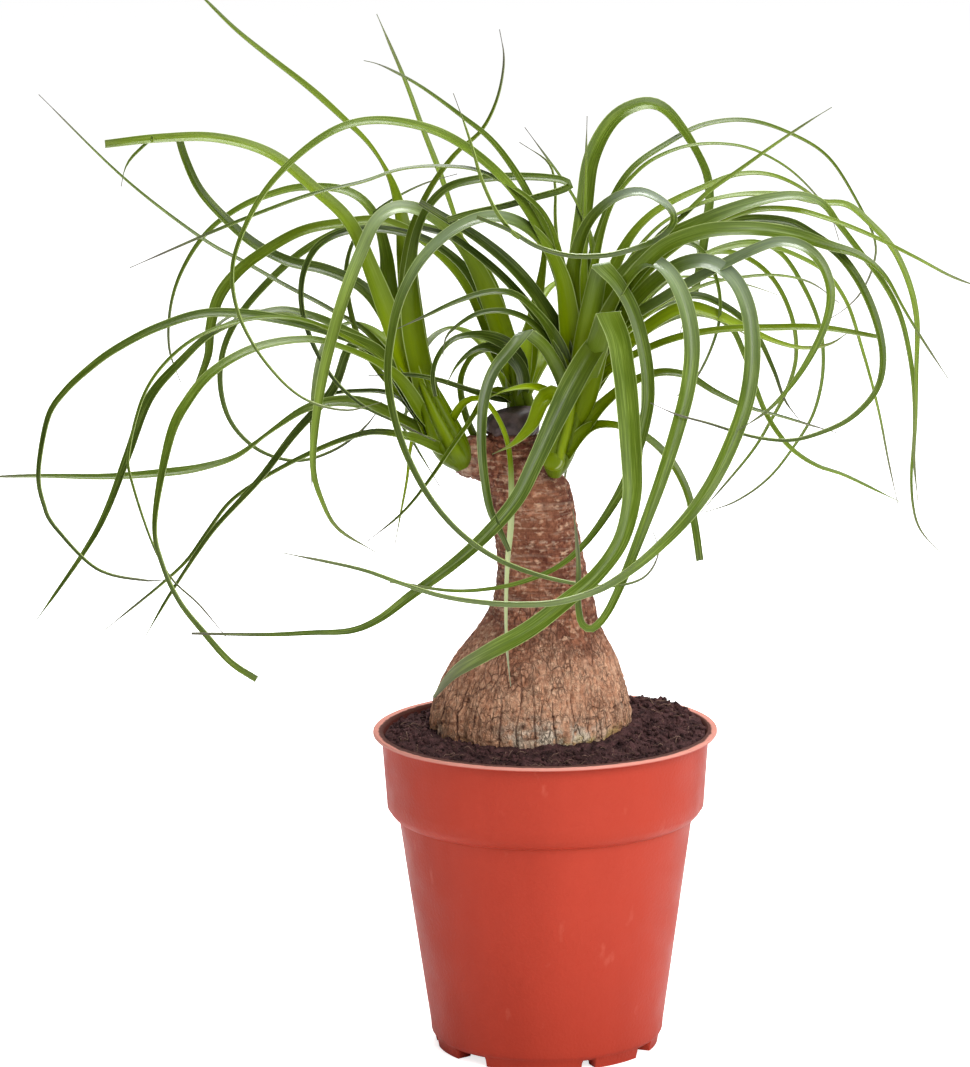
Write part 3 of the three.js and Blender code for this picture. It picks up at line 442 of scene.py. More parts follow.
def fibreShell(draw):
    # thin bent threads that lie on the bed
    count, steps, sides = peat["fibres"], 7, 4
    radius = peat["edge"] * np.sqrt(draw.uniform(0.35, 0.88, count))
    turn, heading = draw.uniform(0, 2 * math.pi, (2, count))
    length = draw.uniform(2.5, 8, count)[:, None]
    share = np.linspace(-0.5, 0.5, steps)
    along, bend = length * share, length * draw.uniform(-1.2, 1.2, count)[:, None] * share ** 2
    ahead, aside = np.cos(heading)[:, None], np.sin(heading)[:, None]
    x = (radius * np.cos(turn))[:, None] + along * ahead - bend * aside
    y = (radius * np.sin(turn))[:, None] + along * aside + bend * ahead
    z = peatHeight(x, y) + 0.35 + draw.uniform(0, 1.2, (count, 1)) * (1 - (2 * share) ** 2)
    thick = draw.uniform(0.09, 0.2, count)[:, None, None] * (1.1 - np.abs(2 * share))[:, None]
    spin = circle(sides)
    ring = [-aside[..., None] * np.cos(spin) * thick, ahead[..., None] * np.cos(spin) * thick,
            np.sin(spin) * thick]
    points = np.stack([x, y, z], -1)[:, :, None] + np.stack(ring, -1)
    end = steps * sides
    single = np.concatenate([gridFaces(steps, sides), [[3, 2, 1, 0], [end - 4, end - 3, end - 2, end - 1]]])
    return points.reshape(-1, 3), copies(single, end, count), np.zeros((0, 3), int), {}


def peatMaterial():
    material, shader = newMaterial("soil", 0.2)
    coarse = tint(noiseMask(260.0, 0.3, 0.7), peat["dark"], peat["brown"])
    fill(shader, {"Base Color": tint(times(noiseMask(900.0, 0.6, 0.75), 0.6), coarse, peat["fleck"]),
                  "Roughness": 0.95,
                  "Normal": bump(noiseMask(1400.0, 0.2, 0.8), 0.0006)})
    return material


def fibreMaterial():
    material, shader = newMaterial("soilFibre", 0.25)
    fill(shader, {"Base Color": tint(noiseMask(120.0), peat["fibreDark"], peat["fibre"]), "Roughness": 0.85})
    return material


draw = np.random.default_rng(peat["seed"])
bed = [peatShell(), crumbShell(draw)]
dress(makeMesh("peatBed", joinShells(bed)), peatMaterial(), "soil")
dress(makeMesh("peatFibres", fibreShell(draw)), fibreMaterial(), "soil")
print("peat made")

eyePoint = {"distance": 1600, "height": 495}
caudex = {
    "depth": 14, "foot": 103, "join": 178, "top": 238, "sides": 440, "bellyRows": 212, "neckRows": 200,
    "outline": [  # height, centre x and radius as seen on the sight plane
        (101, -5, 14), (104, -5, 24), (109, -5.2, 32), (116, -5.3, 36.8), (122, -5.3, 38.2), (128, -5.2,
        38.2), (134, -4.9, 37), (140, -4.4, 35), (145, -3.9, 33), (150, -3.4, 30.4), (155, -2.8, 27.2), (160,
        -2, 24), (165, -1.1, 21.4), (170, -0.4, 19.6), (175, -0.5, 18.3), (180, -0.7, 17.3), (190, -1.6,
        16.2), (200, -3.2, 15.9), (210, -4.7, 15.7), (217, -5.8, 14.9), (222, -8.4, 12.4), (228, -10.6, 10.2),
        (234, -11.2, 9.4), (238, -11.3, 9.2)],
    "furrows": 11, "furrowDepth": 0.035, "furrowTop": 165,
    "fissures": 29, "plateHeight": 9.5, "plateDepth": 0.85, "slivers": 84, "sliverHeight": 5.2,
    "sliverDepth": 0.34,
    "ringDepth": 0.35, "topGroove": 0.7, "grooveStep": 2.9,
    "tan": (255, 212, 178), "rust": (204, 140, 104), "neck": (190, 124, 94), "red": (98, 46, 30),
    "crack": (70, 36, 24), "pale": (244, 216, 190), "grey": (244, 232, 210), "moss": (190, 172, 84),
}
stub = {  # x, z, depth and radius along the side knob
    "outline": [(-6, 221, 14, 10.2), (-13, 223.5, 14, 10.0), (-20, 225, 14, 9.2), (-26, 226, 13, 8.3), (-30.5,
                225.6, 12.3, 7.4), (-33.2, 225.2, 11.8, 5.2)],
    "sides": 150, "rows": 90, "rings": 46, "ringDepth": 0.45,
}


def onSight(x, z, depth):
    # a point of the sight plane carried along its sight line to a depth behind that plane
    far = (eyePoint["distance"] + depth) / eyePoint["distance"]
    rise = eyePoint["height"] + (z - eyePoint["height"]) * far
    return np.stack(np.broadcast_arrays(x * far, depth, rise), -1)


def smoothCurve(keys, values, at):
    # cubic curve through values (n x any) at rising keys, slopes from the neighbours on both sides
    keys, values = np.asarray(keys, float), np.asarray(values, float)
    slope = np.gradient(values, keys, axis=0)
    k = np.clip(np.searchsorted(keys, at, side="right") - 1, 0, len(keys) - 2)
    span = (keys[k + 1] - keys[k])[:, None]
    t = (at - keys[k])[:, None] / span
    first = (2 * t ** 3 - 3 * t ** 2 + 1) * values[k] + (t ** 3 - 2 * t ** 2 + t) * span * slope[k]
    return first + (3 * t ** 2 - 2 * t ** 3) * values[k + 1] + (t ** 3 - t ** 2) * span * slope[k + 1]


def fissureLines(u, z, around, wander, seed):
    # wandering upright lines, one to each step of u: distance to the nearest, and the number of the strip
    best, strip = np.full(u.shape, 9.0), np.zeros_like(u)
    for step in (-1, 0, 1, 2):
        k = np.floor(u) + step
        key = np.mod(k, around)
        sway = wander * np.sin(z * 0.13 + 6.3 * hashed(key, 2, 0, seed))
        away = u - k - 0.7 * (hashed(key, 1, 0, seed) - 0.5) - sway
        strip = np.where(away > 0, key, strip)
        best = np.minimum(best, np.abs(away))
    return best, strip


def crossLines(z, strip, step, seed):
    # level lines at uneven heights, different in each strip: distance to the nearest in steps
    v = z / step + 10 * hashed(strip, 3, 0, seed)
    rows = (np.floor(v), np.floor(v) + 1)
    return np.minimum(*(np.abs(v - row - 0.6 * (hashed(strip, row, 4, seed) - 0.5)) for row in rows))


def barkRelief(points, angle, z):
    # upright fissures and cross cracks part the belly into plates; the neck has uneven rings; depths in
    # millimetres
    x, y = points[..., 0], points[..., 1]
    drift, shake = layered(points, 0.09, 3, 21), layered(points, 0.4, 3, 31)
    low, belly = softStep(150, 131, z), softStep(178, 158, z)
    neck, top = softStep(152, 176, z), softStep(223, 228, z)
    major, minor = caudex["fissures"], caudex["slivers"]
    away, strip = fissureLines(angle * major / (2 * math.pi) + 0.16 * drift + 0.05 * shake, z, major, 0.14, 2)
    torn = patchy(-0.55, 0.05, points, (0.15, 0.15, 0.09), 2, 41)
    wide = 0.02 + 0.024 * low * torn
    fissure = softStep(wide * 1.7, wide * 0.3, away) * (0.5 + 0.5 * low) * belly * (0.35 + 0.65 * torn)
    level = crossLines(z + 2.2 * drift + 0.9 * shake, strip, caudex["plateHeight"], 3)
    cross = softStep(0.085, 0.02, level) * low * patchy(-0.35, 0.1, points, 0.11, 2, 43)
    long = bell(z - 129.5 - 0.9 * shake, 0.55) * softStep(-1, 2, x + 22) * softStep(-2, 1, 1 - x)
    cross = np.maximum(cross, 0.8 * long * (y < 0))
    away, strip = fissureLines(angle * minor / (2 * math.pi) + 0.5 * drift + 0.22 * shake, z, minor, 0.3, 5)
    sliver = softStep(0.2, 0.03, away) * patchy(-0.35, 0.25, points, (0.35, 0.35, 0.13), 2, 45) * belly
    nick = softStep(0.16, 0.03, crossLines(z + shake, strip, caudex["sliverHeight"], 6)) * belly
    nick = nick * patchy(-0.1, 0.3, points, 0.3, 2, 47)
    grain = layered(points, (1.05, 1.05, 0.7), 4, 51)
    pits = 0.5 * patchy(0.35, 0.65, points, (0.95, 0.95, 0.6), 2, 61) * belly
    height = -caudex["plateDepth"] * np.maximum(fissure, 0.5 * cross)
    height -= caudex["sliverDepth"] * np.maximum(sliver, 0.7 * nick)
    height += 0.32 * grain * (0.5 + 0.5 * belly) - 0.35 * pits + 0.5 * shake * belly
    # rings, tilted a little and broken along their length
    tilted = z + 0.9 * np.sin(angle + 0.6) + 0.5 * layered(points, 0.06, 2, 71) + 0.25 * shake
    uneven = layered(np.stack([0.6 * np.cos(angle), 0.6 * np.sin(angle), tilted * 0.62], -1), 1, 2, 73)
    line = softStep(0.16, 0.02, np.abs(uneven)) * neck * patchy(-0.4, 0.3, points, (0.2, 0.2, 0.6), 3, 81)
    groove = (0.5 + 0.5 * np.cos(2 * math.pi * (tilted + 0.4 * drift) / caudex["grooveStep"])) ** 1.6 * top
    dots = bell(tilted - 195.5, 0.4) + 0.7 * bell(tilted - 204, 0.4) + 0.6 * bell(tilted - 186, 0.4)
    dots = dots * patchy(0, 0.35, points, (0.9, 0.9, 0.2), 2, 91) * neck
    height += caudex["ringDepth"] * (0.8 * uneven * neck + 0.7 * line)
    height += 0.2 * dots - caudex["topGroove"] * groove
    crack = np.maximum(fissure, 0.5 * cross) + 0.45 * np.maximum(sliver, 0.8 * nick)
    crack = crack + 0.55 * pits + 0.75 * groove
    return height, {"crack": np.clip(crack, 0, 1),
                    "pale": np.clip(0.24 * line + 0.5 * dots, 0, 1) * (1 - top),
                    "grain": 0.5 + 0.5 * grain, "drift": 0.5 + 0.5 * drift}


def bellyMarks(points, z):
    # worn grey patches near the peat, a yellow-green line of moss where the caudex meets it, a dark spot on
    # the front, and painted shade along the peat line
    x, y = points[..., 0], points[..., 1]
    front = softStep(8, -8, y)
    clear = points[..., 2] - peatHeight(x, y)
    patch = 1.25 * np.exp(-(((x - 5) / 14) ** 2 + ((z - 126) / 5.5) ** 2)) * front
    patch = patch + 0.5 * patchy(0.1, 0.5, points, 0.09, 2, 111) * softStep(13, 3, clear)
    patch = patch * patchy(-0.3, 0.25, points, 0.55, 3, 101)
    right = 0.1 + 0.9 * softStep(0, 14, x) * front
    moss = softStep(4.2, 0.8, clear) * right * patchy(-0.5, 0.3, points, 0.3, 2, 121)
    # a small dark spot on the front, and painted shade: the bark is darkened just above where it meets the
    # peat
    spot = bell(x + 8, 1.5) * bell(z - 131, 1.3) * front + 0.6 * softStep(2.2, -1, clear)
    return {"patch": np.clip(patch, 0, 1), "moss": moss, "spot": np.clip(spot, 0, 1)}


def trunkShell(heights):
    # circles round the outline's smoothed middle line, pushed in and out by the bark
    outline = np.array(caudex["outline"], float)
    shape = smoothCurve(outline[:, 0], outline[:, 1:], heights)
    centres = onSight(shape[:, 0], heights, caudex["depth"])
    angle, z = np.broadcast_arrays(circle(caudex["sides"]), heights[:, None])
    direction = np.stack([np.cos(angle), np.sin(angle), 0 * angle], -1)
    fade = np.clip((caudex["furrowTop"] - z) / 20, 0, 1)
    wave = np.cos(caudex["furrows"] * angle + 0.6 * np.sin(z * 0.11 + 3 * angle))
    radius = shape[:, 1:2] * (1 - caudex["furrowDepth"] * fade * np.maximum(0, wave) ** 4)
    smooth = centres[:, None] + direction * radius[..., None]
    relief, values = barkRelief(smooth, angle, z)
    rings = smooth + direction * (relief + 0.5 * layered(smooth, 0.05, 2, 131))[..., None]
    return closedLoft(rings, **values, **bellyMarks(rings, z))


def tubeRings(outline, rows, sides, heightAt):
    # circles square to a smooth middle line; heightAt gives a relief from (along, angle, points)
    share, angle = np.linspace(0, 1, rows)[:, None], circle(sides)
    smooth = smoothCurve(np.linspace(0, 1, len(outline)), outline, share[:, 0])
    centres = onSight(smooth[:, 0], smooth[:, 1], smooth[:, 2])
    along = unit(np.gradient(centres, axis=0))
    across = unit(np.cross([0.0, 1.0, 0.0], along))
    up = np.cross(along, across)
    direction = across[:, None] * np.cos(angle)[:, None] + up[:, None] * np.sin(angle)[:, None]
    rings = centres[:, None] + direction * smooth[:, 3][:, None, None]
    return rings + direction * heightAt(share + 0 * angle, angle + 0 * share, rings)[..., None]


def stubShell():
    # the short arm that carries the left shoot, with ringed bark like the neck's
    def relief(along, angle, points):
        lines = (0.5 + 0.5 * np.cos(along * stub["rings"] + 0.8 * np.sin(angle * 2))) ** 3
        return 0.35 * layered(points, 0.5, 3, 141) - stub["ringDepth"] * lines
    rings = tubeRings(stub["outline"], stub["rows"], stub["sides"], relief)
    points, quads, triangles, _ = closedLoft(rings)
    pale = 0.7 * softStep(-22, -31, points[:, 0]) * patchy(-0.4, 0.3, points, 0.5, 2, 191)
    values = {"grain": 0.5 + 0.5 * layered(points, 0.9, 3, 151),
              "drift": 0.5 + 0.5 * layered(points, 0.1, 2, 171),
              "crack": patchy(0.1, 0.6, points, (0.7, 0.25, 0.25), 3, 161), "pale": pale}
    return points, quads, triangles, {**values, **dict.fromkeys(("patch", "moss", "spot"), 0 * pale)}


def crackle(scale, width, wander):
    # seams between the tall cells of a warped cell pattern: 1 on the seam
    spot = add("TexCoord", "Object")
    warp = add("TexNoise", "Color", {"Vector": spot, "Scale": scale * 0.7})
    shifted = add("VectorMath", "Vector", {0: warp, 1: (wander, wander, wander), 2: spot},
                  operation="MULTIPLY_ADD")
    fitted = add("Mapping", "Vector", {"Vector": shifted, "Scale": (1, 1, 0.3)})
    cells = add("TexVoronoi", "Distance", {"Vector": fitted, "Scale": scale}, feature="DISTANCE_TO_EDGE")
    return ramp(cells, 0.0, width, 1.0, 0.0)


def barkMaterial():
    material, shader = newMaterial("bark", 0.3)
    tan, rust, neckTone, red, crack = (linear(caudex[key]) for key in ("tan", "rust", "neck", "red", "crack"))
    side, height, grain, drift = axis("X"), axis("Z"), pointValue("grain"), pointValue("drift")
    mottle = noiseMask(330.0, 0.3, 0.7, (1, 1, 0.6))
    belly = tint(ramp(grain, 0.2, 0.8), rust, tan)
    belly = tint(times(mottle, 0.4), belly, rust)
    belly = tint(ramp(side, 0.0, -0.034, 0.0, 0.3), belly, rust)
    neck = tint(ramp(grain, 0.3, 0.75), red, neckTone)
    neck = tint(times(noiseMask(120.0, 0.4, 0.6, (0.5, 0.5, 5.5), 6.0), 0.8), neck, red)
    neck = tint(times(noiseMask(420.0, 0.54, 0.72, (0.8, 0.8, 1.5)), 0.7), neck, tan)
    rise = combine("ADD", height, ramp(drift, 0.0, 1.0, -0.018, 0.018))
    colour = tint(ramp(rise, 0.136, 0.162), belly, neck)
    colour = tint(ramp(drift, 0.45, 0.8, 0.0, 0.3), colour, rust)
    strokes = times(noiseMask(560.0, 0.52, 0.66, (1, 1, 0.2), 5.0), ramp(height, 0.145, 0.175, 0.42, 0.0))
    colour = tint(combine("MAXIMUM", strokes, times(noiseMask(1100.0, 0.3, 0.7), 0.2)), colour, crack)
    for key, tone, strength in (("pale", "pale", 0.75), ("patch", "grey", 0.75), ("moss", "moss", 0.6)):
        colour = tint(times(pointValue(key), strength), colour, linear(caudex[tone]))
    seams = times(crackle(300.0, 0.06, 0.0032), noiseMask(95.0, 0.36, 0.6))
    hairs = times(crackle(820.0, 0.1, 0.0014), noiseMask(140.0, 0.42, 0.62))
    net = times(combine("MAXIMUM", seams, times(hairs, 0.75)), ramp(height, 0.15, 0.19, 1.0, 0.3))
    # the spot value carries the painted shade at the peat line as well as the dark spot
    dark = ramp(combine("MAXIMUM", pointValue("crack"), pointValue("spot")), 0.12, 0.9, 0.0, 0.86)
    dark = combine("MAXIMUM", dark, times(net, 0.66))
    bumps = combine("ADD", noiseMask(1500.0, 0.2, 0.8), times(mottle, 0.8))
    bumps = bump(combine("SUBTRACT", bumps, times(net, 1.6)), 0.0006)
    fill(shader, {"Base Color": tint(dark, colour, crack), "Roughness": 0.82, "Normal": bumps})
    return material


bark = barkMaterial()
steps = softStep(-0.9, 1.9, np.linspace(0, 1, caudex["bellyRows"]))  # closer rows at both ends of the belly
steps = (steps - steps[0]) / (steps[-1] - steps[0])
bellyHeights = caudex["foot"] + (caudex["join"] - caudex["foot"]) * steps
neckHeights = np.linspace(caudex["join"], caudex["top"], caudex["neckRows"])
trunkShells = {"caudexBelly": trunkShell(bellyHeights), "caudexNeck": trunkShell(neckHeights),
               "sideStub": stubShell()}
for name, shell in trunkShells.items():
    dress(makeMesh(name, shell), bark, "trunk")
print("trunk made")

# wax over the cut
seal = {
    "centre": -11.8, "depth": 14, "sides": 180, "rows": 60,
    "outline": [(236.0, 9.35), (236.5, 9.9), (238.2, 10.15), (240.5, 10.25), (242.4, 9.9), (243.8, 9.0),
                (244.9, 7.4), (245.5, 5.2), (245.7, 2.4), (245.6, 0.2)], # height and radius
    "dark": (46, 31, 31), "sheen": (92, 72, 71),
}


def sealShell():
    # a slanted dome whose lower edge runs down unevenly over the bark
    outline = seal["outline"]
    rows = smoothCurve(np.linspace(0, 1, len(outline)), outline, np.linspace(0, 1, seal["rows"]))
    centres = onSight(seal["centre"] + 0 * rows[:, 0], rows[:, 0], seal["depth"])
    angle = circle(seal["sides"])
    wobble = 1 + 0.03 * np.sin(3 * angle + 1) + 0.02 * np.sin(7 * angle)
    rings = ringPoints(centres, rows[:, 1:2] * wobble, seal["sides"])
    low = softStep(242, 237, rows[:, :1])
    run = 1.2 * np.maximum(0, np.sin(2 * angle + 2.2)) ** 2
    run = run + 0.8 * np.sin(5 * angle) + 0.4 * np.sin(11 * angle + 1)
    rings[..., 2] -= low * (0.6 + np.maximum(0, run)) * 0.8
    outward = rings - centres[:, None]
    outward[..., 2] = 0.3
    rings = rings + unit(outward) * (0.28 * layered(rings, 0.35, 3, 181))[..., None]
    lean = (rings[..., 0] - seal["centre"]) / 10  # lower on the left
    rings[..., 2] += (1.6 * lean - 1.4) * (1 - low) + 0.5 * low * np.maximum(0, -lean)
    return closedLoft(rings)


def sealMaterial():
    material, shader = newMaterial("seal", 0.5)
    worn = noiseMask(240.0, 0.4, 0.75)
    fill(shader, {"Base Color": tint(worn, linear(seal["dark"]), linear(seal["sheen"])),
                  "Roughness": ramp(worn, 0.0, 1.0, 0.42, 0.7),
                  "Normal": bump(noiseMask(700.0, 0.2, 0.8), 0.0002)})
    return material


dress(makeMesh("sealCap", sealShell()), sealMaterial(), "cut_seal")
print("seal made")

sheaths = {  # columns of clasping bases: x, z, depth and radius
    "left": ((-30.2, 221.6, 6, 2.6), (-31.8, 225.4, 6, 5.6), (-35.2, 231.4, 6, 7.1), (-39, 240, 7, 7.4),
        (-43, 250, 8, 6.8), (-47, 260, 8, 5.2), (-50, 269, 8, 3.6)),
    "right": ((4, 219, 4, 2.6), (4.8, 223, 2.5, 4.8), (7, 231, 0, 6.2), (10, 240, -3, 6.7),
        (12, 250, -5, 6.2), (14, 262, -6, 5), (15, 272, -6, 3.6)),
    "back": ((-7, 226, 25, 3), (-7, 231, 25, 5), (-7.5, 240, 25, 6), (-9, 250, 24, 6.2),
        (-11.5, 262, 23, 5.4), (-15, 274, 22, 4)),
}
# balls round the side knob that no leaf may cross: x, z, depth and radius
stubBalls = [(-10, 222, 14, 10.4), (-20, 225, 14, 9.4), (-27, 226, 13, 8.2), (-32, 224.5, 12, 6)]
blade = {  # settings shared by all leaves; lengths in millimetres
    "rootDepth": {"left": 7, "right": -5, "back": 24}, "turn": 40, "sample": 4, "fine": 2.2, "fullest": 6.4,
    "baseWidth": 8.8, "fanFrom": 40, "fanTo": 100, "thinnest": 0.3, "slim": 0.12, "rounds": 40, "margin": 1.2,
    "reach": 44, "rooted": 26, "share": 0.55, "thick": 0.34, "keel": 0.16, "claspFrom": (-5, 12),
    "claspTo": (90, 45), "brightFrom": 18, "brightTo": 105, "foldBrightTo": 60, "backlightReach": 150,
    "rearClasp": 26, "rearBright": 50, "tipLength": 14, "ribRound": 0.07,
}
